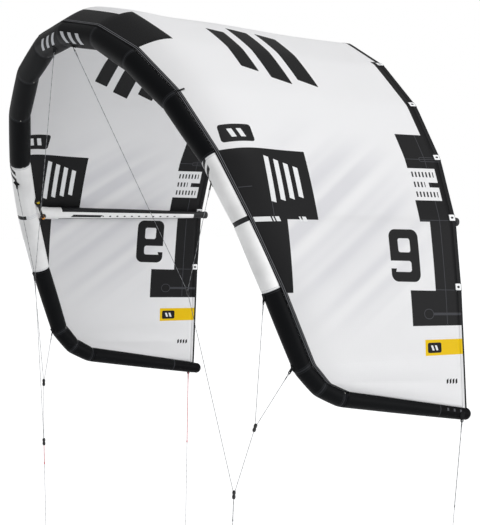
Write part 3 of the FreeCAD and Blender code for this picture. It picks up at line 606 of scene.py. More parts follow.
places = [step / SPAN_CUTS for step in range(-LAST_RIB * SPAN_CUTS, LAST_RIB * SPAN_CUTS + 1)]
shares = [(row / CHORD_CUTS) ** 1.15 for row in range(CHORD_CUTS + 1)]
rows = [[cloth_point(place, share, CLOTH_LIFT + billow(place, share)) for place in places[::-1]]
        for share in shares]
maps = [("from_tail", cloth_map(places[::-1], shares, True)),
        ("from_seam", cloth_map(places[::-1], shares, False))]
canopy = from_rows("canopy_cloth", rows, maps)
thicken(canopy, CLOTH_WALL, 0)
finish_piece(canopy, canopy_cloth, both("canopy_center") + both("canopy_wing"))

# %% [markdown]
# ## Hem and seam tape
# The tail edge is folded over a tensioned line and sewn, so it is a little thicker than the cloth
# and carries a narrow black binding. At the front, a black tape covers the seam between the cloth
# and the tube and is sewn down in two rows.

# %% Tail hem
HEM_STEPS = ((-4, -0.8), (3, 0.1), (14, 0.5), (25, 0.2), (28, -1.3), (25, -2.8), (14, -3.1),
             (3, -2.6))


def hem_point(place, back, lift):
    """A point behind the cloth's tail, in the plane of the cloth there."""
    tail, before = cloth_point(place, 1.0, lift), cloth_point(place, 0.985, lift)
    way = (tail - before) / np.linalg.norm(tail - before)
    return tail + way * back * MM


rows = [[hem_point(place, back, lift) for back, lift in HEM_STEPS] for place in places]
values = [[(span_reach(place), -back * MM) for back, _ in HEM_STEPS + HEM_STEPS[:1]]
          for place in places]
hem = from_rows("tail_hem", rows, [("from_tail", values), ("from_seam", values)], closed=True)
finish_piece(hem, canopy_cloth, both("trailing_edge_strip"))
print("hem", len(hem.data.polygons), "faces")


# %% Webbing tape material
def tape(name, hex_value, line_hex, lines):
    """Woven polyester tape with ribs 2 mm apart, and rows of stitches at the given distances
    across it."""
    made, tree = material(name)
    place = add(tree, "UVMap", uv_map="on_tape")
    parts = add(tree, "SeparateXYZ", {0: place}).outputs
    stitches = any_of(tree, [add(tree, "Math", {0: parts[1], 1: line, 2: 0.0019},
                                 operation="COMPARE") for line in lines])
    ribbing = add(tree, "TexWave", {"Vector": place, "Scale": 160.0}, bands_direction="Y")
    raised = add(tree, "Math", {0: ribbing, 1: stitches}, operation="SUBTRACT")
    tone = printed(tree, colour(hex_value), [(line_hex, stitches)])
    return surfaced(made, tone, raised, 0.3, 0.0008, {"Roughness": 0.6, "Specular IOR Level": 0.08})


black_tape = tape("polyester_tape_black", "#0D0D0F", "#6A6B6E", (0.0075, 0.0180))


# %% Seam tape
def tape_point(place, distance, lift):
    return cloth_point(place, distance * MM / chord(place), lift)


TAPE_STEPS = ((0, -2.4), (0, 1.2), (6, 1.9), (13, 1.6), (20, 1.9), (25, 1.5), (26, 0.1))
rows = [[tape_point(place, distance, lift) for distance, lift in TAPE_STEPS] for place in places]
values = [[(span_reach(place), distance * MM) for distance, _ in TAPE_STEPS] for place in places]
seam_cover = from_rows("seam_cover", rows, [("on_tape", values)])
thicken(seam_cover, TAPE_WALL)
finish_piece(seam_cover, black_tape, both("seam_tape"))
print("seam tape", len(seam_cover.data.polygons), "faces")

# %% [markdown]
# ## The inflated edge
# The front tube is heavy woven polyester, cut in straight tapered pieces and sewn where they
# meet. Hard air makes it round, the seams pull in a little, and on the inner side of each bend the
# spare cloth makes short wrinkles. The rings of points follow that: the ring at a joint lies in
# the plane where two pieces meet, and a bump towards each joint draws the wrinkles.

# %% Tube rings
ROUND_STEPS, PIECE_STEPS = 72, 12
PINCH, SWELL, WRINKLE = 1.7, 1.6, 1.5
DOME_STEPS = (12, 25, 38, 51, 64, 77, 89)
PINCH_REACH, WRINKLE_REACH, INNER_GAIN, INNER_MOST = 11, 60, 2.2, 1.2
TURNS = [step / ROUND_STEPS for step in range(ROUND_STEPS + 1)]


def joint_ring(joint):
    """The ring where two pieces meet, as offsets from the joint for a radius of 1."""
    outward, backward, _ = joint_frame(joint)
    along = backward.cross(outward).normalized()
    run = RUNS[min(joint, len(RUNS) - 1)]
    lean = run - along * run.dot(along)
    stretch = 1 / max(abs(run.dot(along)), 0.5) - 1
    lean = lean.normalized() if lean.length > 1e-4 else Vector()
    points = [outward * math.cos(2 * math.pi * turn) + backward * math.sin(2 * math.pi * turn)
              for turn in TURNS[:-1]]
    return [np.array(point + lean * (point.dot(lean) * stretch)) for point in points]


JOINT_RINGS = [joint_ring(joint) for joint in range(len(JOINTS))]


def tube_ring(piece, share):
    """A ring of the tube in metres, with the pinch, the swell and the wrinkles of its cloth."""
    length = (JOINTS[piece + 1] - JOINTS[piece]).length
    radius = RADII[piece] + (RADII[piece + 1] - RADII[piece]) * share
    centre = np.array(JOINTS[piece].lerp(JOINTS[piece + 1], share))
    nearer = piece if share < 0.5 else piece + 1
    off = length * min(share, 1 - share)
    bend = RUNS[nearer] - RUNS[nearer - 1] if 0 < nearer < len(RUNS) else Vector()
    points = []
    for turn, near, far in zip(TURNS, JOINT_RINGS[piece], JOINT_RINGS[piece + 1]):
        out = near * (1 - share) + far * share
        swell = SWELL * math.sin(math.pi * share) - PINCH * math.exp(-(off / PINCH_REACH) ** 2)
        inner = max(0.0, float(np.dot(out, bend))) * INNER_GAIN
        angle = 2 * math.pi * turn
        fold = math.sin(12 * angle + nearer) + 0.6 * math.sin(7 * angle + 2 * nearer)
        swell += WRINKLE * min(inner, INNER_MOST) * fold * math.exp(-(off / WRINKLE_REACH) ** 2)
        points.append(tuple((centre + out * (radius + swell)) * MM))
    return points


def edge_rows(first, last):
    """Rings from one joint to another; one map is round and along, one off the nearest joint."""
    rings, wrap, near, walked = [], [], [], 0.0
    for piece in range(first, last):
        length = (JOINTS[piece + 1] - JOINTS[piece]).length * MM
        for step in range(PIECE_STEPS + (piece == last - 1)):
            share = step / PIECE_STEPS
            share -= 0.085 * math.sin(2 * math.pi * share)
            rings.append(tube_ring(piece, share))
            wrap.append([(turn, walked + length * share) for turn in TURNS])
            near.append([(turn, length * min(share, 1 - share)) for turn in TURNS])
        walked += length
    return rings, [("round_along", wrap), ("off_joint", near)]


def tip_rows():
    """The last pieces of the tube and its rounded end."""
    rings, maps = edge_rows(TIP_FROM, TIP_END)
    run, radius = np.array(RUNS[-1]), RADII[-1]
    walked = maps[0][1][-1][0][1]
    for degrees in DOME_STEPS:
        rise = math.radians(degrees)
        ring = [np.array(JOINTS[-1]) + (out * math.cos(rise) + run * math.sin(rise)) * radius
                for out in JOINT_RINGS[-1]]
        rings.append([tuple(point * MM) for point in ring])
        for (_, values), start in zip(maps, (walked, 0)):
            values.append([(turn, start + radius * rise * MM) for turn in TURNS])
    return rings, maps


# %% [markdown]
# The tube's cloth is a tight plain weave with a dull shine along its crowns. Each joint carries a
# seam tape with two rows of stitches, and its prints are flat shapes, like the cloth's.

# %% Dacron
def dacron(name, hex_value, seam_hex, roughness, gloss, prints=None, seam_half=0.0045):
    """Woven polyester tube cloth. Its threads are well under 1 mm apart, too fine to show, so
    they are drawn at 6 mm. Its prints take the tree and the place along and round."""
    made, tree = material(name)
    place = add(tree, "UVMap", uv_map="round_along")
    near = add(tree, "UVMap", uv_map="off_joint")
    off = add(tree, "SeparateXYZ", {0: near}).outputs[1]
    seam = add(tree, "Math", {0: off, 1: seam_half}, operation="LESS_THAN")
    rows = add(tree, "Math", {0: off, 1: 0.011, 2: 0.0014}, operation="COMPARE")
    spot = add(tree, "TexCoord").outputs["Object"]
    cloud = add(tree, "TexNoise", {"Vector": spot, "Scale": 7.0, "Detail": 3.0})
    shade = add(tree, "MapRange", {"Value": cloud, "From Min": 0.3, "From Max": 0.7})
    layers = [(hex_value, shade), (seam_hex, any_of(tree, [seam, rows]))]
    if prints:
        parts = add(tree, "SeparateXYZ", {0: place}).outputs
        layers += prints(tree, add(tree, "CombineXYZ", {0: parts[1], 1: parts[0]}))
    tone = printed(tree, dimmed(hex_value, 0.86), layers)
    scaled = add(tree, "VectorMath", {0: place, 1: (0.45, 1.0, 0)}, operation="MULTIPLY")
    weave = [add(tree, "TexWave", {"Vector": scaled, "Scale": 55.0}, bands_direction=way)
             for way in ("X", "Y")]
    threads = add(tree, "Math", {0: weave[0], 1: weave[1]}, operation="MULTIPLY")
    raised = add(tree, "Math", {0: seam, 1: 3.0, 2: threads}, operation="MULTIPLY_ADD")
    return surfaced(made, tone, raised, 0.35, 0.0005,
                    {"Roughness": roughness, "Specular IOR Level": gloss})


def nose_prints(tree, place):
    """Slanted pale bars round the front of the tube, on each side of the middle."""
    boxes = [((start, 0.635), (start + 0.040, 0.775)) for start in (0.31, 0.40, 0.49)]
    return [("#C4C6CA", span_boxes(tree, slanted(tree, place, 0.35), boxes))]


def white_prints(tree, place):
    """A black band round the front of the tube at the strut, and two black bars near its top."""
    strut_at = (JOINTS[STRUT_RIB] - JOINTS[WHITE_FROM]).length * MM
    band = [((strut_at - 0.016, low), (strut_at + 0.011, high))
            for low, high in ((0.58, 1.01), (-0.01, 0.12))]
    bars = [((start, 0.64), (start + 0.028, 0.80)) for start in (0.225, 0.275)]
    return [("#17181A", any_of(tree, [span_boxes(tree, place, band),
                                      span_boxes(tree, slanted(tree, place, 0.3), bars)]))]


def tip_prints(tree, place):
    """The second cloth layer over the end of the tip, and the stitches where it starts."""
    seam = span_box(tree, place, (0.642, -1), (0.647, 2))
    layer = span_box(tree, place, (0.647, -1), (3, 2))
    ticks = [((start, 0.02), (start + 0.012, 0.09)) for start in (0.69, 0.735, 0.78)]
    return [("#0A0A0C", layer), ("#3A3B3F", seam), ("#55565A", span_boxes(tree, place, ticks))]


tube_tip, tube_black, tube_nose = (
    dacron("dacron_black" + ending, "#0F1012", "#2C2D30", 0.45, 0.05, prints)
    for ending, prints in (("_tip", tip_prints), ("", None), ("_printed", nose_prints)))
tube_white = dacron("dacron_white", "#FAFAFA", "#D4D6DA", 0.5, 0.3, white_prints, 0.002)

# %% Edge tube pieces
def merged(name, pieces):
    only(pieces[0])
    for piece in pieces[1:]:
        piece.select_set(True)
    bpy.ops.object.join()
    pieces[0].name = pieces[0].data.name = name
    return pieces[0]


def joined_pair(name, pair):
    """Two halves that meet in the middle, as one piece."""
    piece = merged(name, pair)
    bpy.ops.object.mode_set(mode="EDIT")
    bpy.ops.mesh.select_all(action="SELECT")
    bpy.ops.mesh.remove_doubles(threshold=0.00005)
    bpy.ops.object.mode_set(mode="OBJECT")
    return piece


halves = for_each_wing("edge_tube_center", *edge_rows(0, WHITE_FROM), closed=True)
tube_nose_piece = joined_pair("edge_tube_center", halves)
thicken(tube_nose_piece, CLOTH_WALL)
finish_piece(tube_nose_piece, tube_nose, ["le_sleeve_center"])
for part, look, slot, (rows, maps), capped in (
        ("white", tube_white, "sleeve_white", edge_rows(WHITE_FROM, WHITE_TO), False),
        ("lower", tube_black, "sleeve_black", edge_rows(WHITE_TO, TIP_FROM), False),
        ("tip", tube_tip, "sleeve_black", tip_rows(), True)):
    pair = for_each_wing("edge_tube_" + part, rows, maps, closed=True, capped=capped)
    for side, piece in zip(("_left", "_right"), pair):
        thicken(piece, CLOTH_WALL)
        finish_piece(piece, look, ["le_sleeve_" + part + side])

# %% [markdown]
# ## Struts
# Each strut is a slimmer tube sewn to the underside of the cloth. It is widest a little behind the
# edge tube and slims towards the tail, where a rubber cup protects it. Its print runs along it.

# %% Strut cloth
STRUT_STATIONS = (0.12, 0.22, 0.36, 0.56, 0.78, 1.0)
STRUT_DIAMETERS = {"center": (84, 88, 89, 85, 75, 62, 46), "side": (79, 79, 77, 73, 65, 56, 45)}
STRUT_ROOT = {"center": (48, 44), "side": (44, 34)}
STRUT_BELOW, STRUT_TAIL, STRUT_STEPS, STRUT_ROUND = 4.1, 50, 64, 40


def strut_line(kind):
    """The strut's evenly spaced centre line, its radii, its upward direction and its length."""
    rib = 0 if kind == "center" else STRUT_RIB
    outward, backward, drop = joint_frame(rib)
    back, out = STRUT_ROOT[kind]
    line = [np.array(JOINTS[rib] + outward * out + backward * back)]
    curve, _ = RIB_CURVES[rib]
    level = np.array(level_outward(drop))
    radii = [diameter / 2 for diameter in STRUT_DIAMETERS[kind]]
    for station, radius in zip(STRUT_STATIONS, radii[1:]):
        at = round(station * RIB_SAMPLES)
        low = min(at, RIB_SAMPLES - 1)
        way = (curve[low + 1] - curve[low]) / np.linalg.norm(curve[low + 1] - curve[low])
        up = level - way * level.dot(way)
        line.append(curve[at] - up / np.linalg.norm(up) * (STRUT_BELOW + radius))
    line.append(line[-1] + way * STRUT_TAIL)
    spaces = np.cumsum([0] + [np.linalg.norm(b - a) for a, b in zip(line, line[1:])])
    even, length = smooth_curve(line, STRUT_STEPS)
    at = np.linspace(0, spaces[-1], STRUT_STEPS + 1)
    return even, np.interp(at, spaces, radii + radii[-1:]), level, length * MM


def strut_rows(kind):
    centres, radii, level, length = strut_line(kind)
    rows, wrap, tail = [], [], []
    turns = [step / STRUT_ROUND for step in range(STRUT_ROUND + 1)]
    angles = [2 * math.pi * turn for turn in turns[:-1]]
    for step, (centre, radius) in enumerate(zip(centres, radii)):
        way = centres[min(step + 1, STRUT_STEPS)] - centres[max(step - 1, 0)]
        way = way / np.linalg.norm(way)
        up = level - way * level.dot(way)
        up = up / np.linalg.norm(up)
        side = np.cross(way, up)
        rows.append([(centre + (up * math.cos(angle) + side * math.sin(angle)) * radius) * MM
                     for angle in angles])
        along = length * step / STRUT_STEPS
        wrap.append([(turn, along) for turn in turns])
        tail.append([(turn, length - along) for turn in turns])
    return rows, [("round_along", wrap), ("off_joint", tail)]


# %% Strut print
def strut_prints(tree, place):
    """A black stripe on the crown side, a thin grey one on the tip side, a bar and dots between
    them, and a black tail."""
    top = span_box(tree, place, (0.22, 0.58), (3.0, 0.80), 0.01)
    low = span_box(tree, place, (0.20, 0.20), (3.0, 0.375))
    bar = span_box(tree, slanted(tree, place, -0.2), (0.20, 0.425), (0.42, 0.505), 0.004)
    parts = add(tree, "SeparateXYZ", {0: place}).outputs
    scaled = add(tree, "CombineXYZ", {0: phase(tree, parts[0], 0.055), 1: parts[1]})
    dot = rounded_box(tree, scaled, (0.5, 0.465), (0.13, 0.022), 0.02)
    row = span_box(tree, place, (0.52, 0.3), (1.08, 0.6))
    dots = add(tree, "Math", {0: dot, 1: row}, operation="MULTIPLY")
    return [("#46474B", low), ("#1A1B1D", any_of(tree, [top, bar, dots]))]


strut_cloth = dacron("dacron_strut", "#FAFAFA", "#1A1B1D", 0.5, 0.25, strut_prints, 0.105)
for kind, nodes_of in (("center", ["strut_center"]), ("side", both("strut"))):
    rows, maps = strut_rows(kind)
    if kind == "center":
        pieces = [from_rows("strut_cloth_center", rows, maps, closed=True)]
    else:
        pieces = for_each_wing("strut_cloth", rows, maps, closed=True)
    for piece, node in zip(pieces, nodes_of):
        thicken(piece, CLOTH_WALL)
        finish_piece(piece, strut_cloth, [node])
    print(kind, "strut", round(strut_line(kind)[3], 3), "m long")

# %% [markdown]
# ## Turned and moulded pieces
# The strut cups and the bridle's beads are small and round. Each starts as one flat disc, which
# is extruded and scaled ring by ring up its outline, as it would be turned on a lathe, and then
# gets a subdivision surface. The finished mesh is turned to its place.

# %% Turned pieces
def turned(name, outline, sides, centre, direction, smoothness=1):
    """A closed turned piece through (radius, height) pairs, then set along a direction."""
    bpy.ops.object.select_all(action="DESELECT")
    bpy.ops.mesh.primitive_circle_add(vertices=sides, radius=outline[0][0], fill_type="NGON",
                                      location=(0, 0, 0))
    piece = bpy.context.object
    bpy.ops.object.mode_set(mode="EDIT")
    bpy.ops.transform.translate(value=(0, 0, outline[0][1]))
    bpy.ops.mesh.select_all(action="SELECT")
    for (radius, height), (following, above) in zip(outline, outline[1:]):
        bpy.ops.mesh.extrude_region_move(TRANSFORM_OT_translate={"value": (0, 0, above - height)})
        scale = following / radius
        bpy.ops.transform.resize(value=(scale, scale, 1), center_override=(0, 0, above))
    bpy.ops.mesh.select_all(action="SELECT")
    bpy.ops.mesh.normals_make_consistent(inside=False)
    bpy.ops.object.mode_set(mode="OBJECT")
    if smoothness:
        soft = piece.modifiers.new("soft", "SUBSURF")
        soft.levels = soft.render_levels = smoothness
        bpy.ops.object.modifier_apply(modifier=soft.name)
    bpy.ops.object.shade_smooth()
    piece.name = piece.data.name = name
    turn = Vector((0, 0, 1)).rotation_difference(Vector(direction)).to_matrix().to_4x4()
    piece.data.transform(Matrix.Translation(Vector(centre)) @ turn)
    piece.location = (0, 0, 0)
    return piece


def mirrored_copy(piece, name):
    """The same piece for the right wing, with its own mesh."""
    copy = piece.copy()
    copy.data = piece.data.copy()
    copy.name = copy.data.name = name
    scene.collection.objects.link(copy)
    copy.data.transform(Matrix.Scale(-1, 4, (1, 0, 0)))
    copy.data.flip_normals()
    return copy


# %% Moulded materials
def moulded(name, hex_value, roughness, spots=(), **sockets):
    """Injection-moulded plastic or rubber: a fine even grain, drawn at about 4 mm because the
    real one is too fine to show, and slightly uneven gloss. Each spot is another colour within
    a reach of a point, on both wings."""
    made, tree = material(name)
    place = add(tree, "TexCoord").outputs["Object"]
    fine = add(tree, "TexNoise", {"Vector": place, "Scale": 260.0, "Detail": 2})
    cloud = add(tree, "TexNoise", {"Vector": place, "Scale": 18, "Detail": 2})
    gloss = add(tree, "MapRange", {"Value": cloud, "From Min": 0.3, "From Max": 0.7,
                                   "To Min": roughness - 0.05, "To Max": roughness + 0.07})
    layers = [(dimmed(hex_value, 0.8), cloud)]
    for spot_colour, point, reach in spots:
        folded = add(tree, "VectorMath", {0: place}, operation="ABSOLUTE")
        away = add(tree, "VectorMath", {0: folded, 1: [abs(value) for value in point]},
                   operation="DISTANCE").outputs["Value"]
        inside = add(tree, "Math", {0: away, 1: reach}, operation="LESS_THAN")
        layers.append((spot_colour, inside))
    tone = printed(tree, colour(hex_value), layers)
    return surfaced(made, tone, fine, 0.15, 0.0004, {"Roughness": gloss, **sockets})


rubber = moulded("rubber_black", "#1B1B1D", 0.62)
acetal = moulded("acetal_black", "#141416", 0.38)
nylon = moulded("nylon_black", "#131315", 0.5, **{"Specular IOR Level": 0.25})
hose_rubber = moulded("hose_silicone_black", "#0C0C0D", 0.5, **{"Specular IOR Level": 0.2})
film = moulded("polyurethane_film", "#D9D7CE", 0.3)

# %% Strut cups
CUP_WALL, CUP_GAP, CUP_DEPTH, CUP_DOME = 2.0, 0.4, 18, 9


def strut_cup(kind, name):
    centres, radii, _, _ = strut_line(kind)
    way = centres[-1] - centres[-2]
    way = way / np.linalg.norm(way)
    inner = (radii[-1] + CUP_GAP) * MM
    outer, deep = inner + CUP_WALL * MM, CUP_DEPTH * MM
    outline = [(inner * 0.6, deep * 0.85), (inner, deep * 0.85), (inner, 0.0008),
               (inner + 0.0006, 0), (outer - 0.0005, 0), (outer, 0.0008), (outer, deep * 0.5),
               (outer, deep)]
    outline += [(outer * math.cos(rise), deep + CUP_DOME * MM * math.sin(rise))
                for rise in (0.45, 0.8, 1.1, 1.35)]
    foot = centres[-1] - way * (CUP_DEPTH - CUP_WALL - CUP_GAP)
    return turned(name, outline, 40, foot * MM, way)


cup_middle, cup_left = strut_cup("center", "strut_cup"), strut_cup("side", "strut_cup_left")
cups = merged("strut_cups", [cup_middle, cup_left, mirrored_copy(cup_left, "strut_cup_right")])
finish_piece(cups, rubber, ["strut_end_caps"])

# %% [markdown]
# ## Bridle and lines
# Cords come next. Each bridle line is a thin braided polyethylene line under load, so it is dead
# straight. It goes through the hole of its webbing tab and is spliced back into itself. Below the
# main bead hang the front line and, from the tip, the back line, each with a thicker pigtail.

# %% Braided line
def braid(name, hex_value, fleck_hex, diameter):
    """Braided polyethylene: a smooth bright fibre. Its plaits are drawn at 4 to 6 mm, coarser
    than real so that they show, and a dark tracer strand comes up every 40 mm."""
    made, tree = material(name)
    place = add(tree, "TexCoord").outputs["Object"]
    plaits = add(tree, "TexVoronoi", {"Vector": place, "Scale": 0.7 / diameter})
    dashes = add(tree, "TexWave", {"Vector": place, "Scale": 8.0, "Distortion": 1.5},
                 bands_direction="Z")
    fleck = add(tree, "MapRange", {"Value": dashes, "From Min": 0.55, "From Max": 0.75})
    tone = printed(tree, colour(hex_value), [(fleck_hex, fleck)])
    return surfaced(made, tone, plaits.outputs["Distance"], 0.5, diameter * 0.15,
                    {"Roughness": 0.5, "Specular IOR Level": 0.3})


LINE, PIGTAIL = 0.003, 0.0044
line_grey = braid("braided_line_grey", "#97999C", "#5E5F63", LINE)
pigtail_grey = braid("braided_pigtail_grey", "#9C9DA0", "#6A6B6E", PIGTAIL)
pigtail_red = braid("braided_pigtail_red", "#E0606C", "#C23E4C", PIGTAIL)
flying_grey = braid("braided_flying_line", "#A6A8AB", "#5B5C60", LINE)

# %% Where the tabs and beads are, in metres, on the left wing
# Each tab: the middle of its hole and the way through it.
TABS = {
    "nose": ((0.1460, -0.0276, -0.1064), (-0.4552, -0.7682, -0.4501)),
    "white": ((1.3428, 0.2315, -0.9168), (-0.1984, -0.9765, 0.0843)),
    "strut": ((1.5557, 0.4438, -1.5355), (-0.0376, -0.9992, -0.0142)),
    "lower": ((1.5922, 0.5852, -1.9157), (0.1780, -0.9378, 0.2980)),
    "tip": ((1.6689, 1.6728, -2.2313), (0.9973, -0.0393, -0.0617)),
}
BEADS = {"upper": (1.067, 0.238, -1.491), "rear": (1.438, 0.458, -2.224),
         "main": (1.306, 0.400, -2.605)}
BEAD_SIZES = {"upper": (0.014, 0.046), "rear": (0.021, 0.050), "main": (0.021, 0.050)}
BRIDLE = (("nose", "upper"), ("white", "upper"), ("strut", "rear"), ("lower", "rear"),
          ("upper", "main"), ("rear", "main"))
EYE_LENGTH, EYE_REACH = 0.070, 0.0021
FRONT_LEAN, BACK_LEAN = Vector((-0.0748, -0.0110, -0.9971)), Vector((-0.0638, -0.0538, -0.9965))
# Each line: its top, its knot, its end and the way that it leans.
LINES = {
    "front": ((1.3041, 0.3997, -2.6308), (1.2954, 0.3984, -2.7470), (1.2603, 0.3933, -3.2150),
              FRONT_LEAN),
    "back": ((1.6644, 1.6690, -2.3010), (1.6377, 1.6465, -2.7180), (1.5957, 1.6110, -3.3750),
             BACK_LEAN),
}
END_TAIL = 0.030


# %% Cord pieces
def curve_piece(name, points, diameter, cyclic=False, flat_ends=True):
    curve = bpy.data.curves.new(name, "CURVE")
    curve.dimensions = "3D"
    spline = curve.splines.new("NURBS")
    spline.points.add(len(points) - 1)
    for place, point in zip(spline.points, points):
        place.co = (*point, 1)
    spline.order_u, spline.use_endpoint_u, spline.use_cyclic_u = 3, not cyclic, cyclic
    curve.bevel_depth, curve.bevel_resolution, curve.use_fill_caps = diameter / 2, 3, flat_ends
    made = bpy.data.objects.new(name, curve)
    scene.collection.objects.link(made)
    return made


def on_side(points, side):
    return [Vector((point[0] * side, point[1], point[2])) for point in points]


def taut_cord(name, points, diameter, look, node, body="kite"):
    piece = finish_piece(curve_piece(name, points, diameter), look, [node], body)
    return piece


def eye_splice(name, hole, through, meeting, diameter, look, body="kite"):
    """The other strand of the eye: through the hole and back along the line to the splice."""
    reach = through * (EYE_REACH + diameter / 2)
    path = [hole + reach, hole, hole - reach, (hole - reach).lerp(meeting, 0.5), meeting]
    return finish_piece(curve_piece(name, path, diameter), look, body=body)


# %% Beads
def bead(name, centre, direction, size):
    """A turned bead of two lobes, with a narrow bore mouth at each end."""
    radius, half = size[0] / 2, size[1] / 2
    lobe = [(0.24, -1.0), (0.50, -0.98), (0.72, -0.90), (0.93, -0.72), (1.0, -0.50),
            (0.95, -0.26), (0.76, -0.07)]
    outline = [(reach * radius, height * half)
               for reach, height in lobe + [(reach, -height) for reach, height in lobe[::-1]]]
    return turned(name, outline, 24, centre, direction)


bead_ways = {name: (Vector(BEADS["main"]) - Vector(BEADS[name])).normalized()
             for name in ("upper", "rear")}
bead_ways["main"] = FRONT_LEAN
left_beads = [bead("bead_" + name, BEADS[name], bead_ways[name], BEAD_SIZES[name])
              for name in BEADS]
right_beads = [mirrored_copy(piece, piece.name + "_right") for piece in left_beads]
beads = merged("bridle_beads_turned", left_beads + right_beads)
finish_piece(beads, acetal, ["bridle_beads"])
print("beads", len(beads.data.polygons), "faces")

# %% Bridle lines
for word, side in (("_left", 1), ("_right", -1)):
    for upper, lower in BRIDLE:
        name = "bridle_" + upper + "_to_" + lower + word
        if upper in TABS:
            hole, through, bead_at = on_side([*TABS[upper], BEADS[lower]], side)
            meeting = hole + (bead_at - hole).normalized() * EYE_LENGTH
            reach = through * (EYE_REACH + LINE / 2)
            points = [hole + reach, hole.lerp(meeting, 0.5) + reach * 0.5, meeting, bead_at]
            eye_splice("line_eye_" + upper + word, hole, through, meeting, LINE, line_grey)
        else:
            points = on_side([BEADS[upper], BEADS[lower]], side)
        taut_cord("line_" + upper + "_to_" + lower + word, points, LINE, line_grey,
                  name)

# %% Stopper knots
def knot(name, centre, direction, diameter, size):
    """An overhand knot, pulled tight round the line that it sits on."""
    strand = diameter * 0.9
    wide, tall = size[0] - strand, size[1] - strand
    loop = []
    for step in range(24):
        turn = 2 * math.pi * step / 24
        reach = wide / 2 * (0.72 + 0.28 * math.cos(3 * turn))
        loop.append((reach * math.cos(2 * turn), reach * math.sin(2 * turn),
                     tall / 2 * math.sin(3 * turn + 0.6) * 0.95))
    piece = curve_piece(name, loop, strand, cyclic=True, flat_ends=False)
    only(piece)
    bpy.ops.object.convert(target="MESH")
    piece = bpy.context.object
    bpy.ops.object.shade_smooth()
    turn = Vector((0, 0, 1)).rotation_difference(direction).to_matrix().to_4x4()
    piece.data.transform(Matrix.Translation(centre) @ turn)
    return piece


KNOT_SIZE = (0.009, 0.017)
for word, side, pigtail_look, slot in (("_left", 1, pigtail_grey, "pigtail_grey"),
                                       ("_right", -1, pigtail_red, "pigtail_red")):
    for which, spots in LINES.items():
        top, knot_at, end_at, way = on_side(spots, side)
        body = which + "_line" + word
        knots = [knot(which + "_knot", spot, way, PIGTAIL, KNOT_SIZE) for spot in (knot_at, end_at)]
        knots = finish_piece(merged(which + "_line_stoppers" + word, knots), pigtail_look,
                             [which + "_line_knots" + word], body)
        points = [top, top.lerp(knot_at, 0.5), knot_at]
        if which == "back":
            hole, through = on_side(TABS["tip"], side)
            reach = through * (EYE_REACH + PIGTAIL / 2)
            points = [hole + reach, hole.lerp(top, 0.5) + reach * 0.5, top, knot_at]
            eye_splice("back_eye" + word, hole, through, top, PIGTAIL, pigtail_look, body)
        taut_cord(which + "_pigtail_cord" + word, points, PIGTAIL, pigtail_look,
                  which + "_pigtail" + word, body=body)
        taut_cord(which + "_flying_cord" + word, [knot_at, end_at, end_at + way * END_TAIL], LINE,
                  flying_grey, which + "_line" + word, body)

# %% [markdown]
# ## Hoses and fittings
# The one-pump hoses carry air from the edge tube to each strut. They are smooth silicone, and bend
# in one easy curve between their elbows. The elbows, clamps, levers, valve and tabs keep the
# frame's own shapes and get their materials here.

# %% Hoses
HOSE_ROUTES = {
    "center": ((0.0719, 0.0881, -0.0544), (-0.0028, 0.0998, -0.0210), (-0.0306, 0.1372, 0.0379)),
    "side": ((1.4088, 0.4104, -1.0199), (1.4445, 0.4406, -1.0815), (1.4798, 0.4748, -1.1155)),
}
HOSE = 0.016
hose_pieces = [curve_piece("hose_center", HOSE_ROUTES["center"], HOSE),
               curve_piece("hose_left", HOSE_ROUTES["side"], HOSE),
               curve_piece("hose_right", on_side(HOSE_ROUTES["side"], -1), HOSE)]
for piece in hose_pieces:
    piece.data.bevel_resolution, piece.data.resolution_u = 6, 24
    finish_piece(piece, hose_rubber)
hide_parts("pump_hoses")

# %% Elbows with a yellow or an orange end
elbow_nylon = moulded("nylon_elbow", "#131315", 0.45, [
    (end_colour, HOSE_ROUTES[which][end], 0.0165) for which in ("center", "side")
    for end_colour, end in (("#E6C82A", 0), ("#F09A2C", -1))])

# %% Webbing of the tabs
def webbing(name, hex_value):
    """Woven polyester webbing. The ribs are 4 mm apart, drawn coarser than real so that they
    show, and one side of each is a little darker."""
    made, tree = material(name)
    place = add(tree, "TexCoord").outputs["Object"]
    ribs = add(tree, "TexWave", {"Vector": place, "Scale": 80.0, "Distortion": 0.6},
               bands_direction="Z")
    cross = add(tree, "TexWave", {"Vector": place, "Scale": 110.0}, bands_direction="X")
    weave = add(tree, "Math", {0: ribs, 1: cross}, operation="MULTIPLY")
    tone = printed(tree, dimmed(hex_value, 0.6), [(hex_value, weave)])
    return surfaced(made, tone, weave, 0.6, 0.0006, {"Roughness": 0.75, "Specular IOR Level": 0.15})


tab_webbing = webbing("polyester_webbing_black", "#17181A")

# %% Loops on the seam
LOOP_JOINT, LOOP_WIDE, LOOP_LONG, LOOP_LIFT, LOOP_CURL, LOOP_WALL = 3, 10, 48, 2.2, 5, 0.0024


def loop_point(across, back):
    """On the cloth behind a joint of the tube, and curling a few millimetres off it."""
    place = LOOP_JOINT + across * MM / (SPAN_STEPS[LOOP_JOINT + 1] - SPAN_STEPS[LOOP_JOINT])
    return cloth_point(place, back * MM / chord(LOOP_JOINT),
                       LOOP_LIFT + LOOP_CURL * (back / LOOP_LONG) ** 2)


rows = [[loop_point(across * LOOP_WIDE / 2, back * LOOP_LONG)
         for back in (0.02, 0.25, 0.5, 0.75, 0.95, 1.0)] for across in (-1, -0.4, 0.4, 1)]
loops = thicken(merged("seam_loops", for_each_wing("seam_loop", rows, [])), LOOP_WALL)
finish_piece(loops, tab_webbing)
print("seam loops", len(loops.data.polygons), "faces")

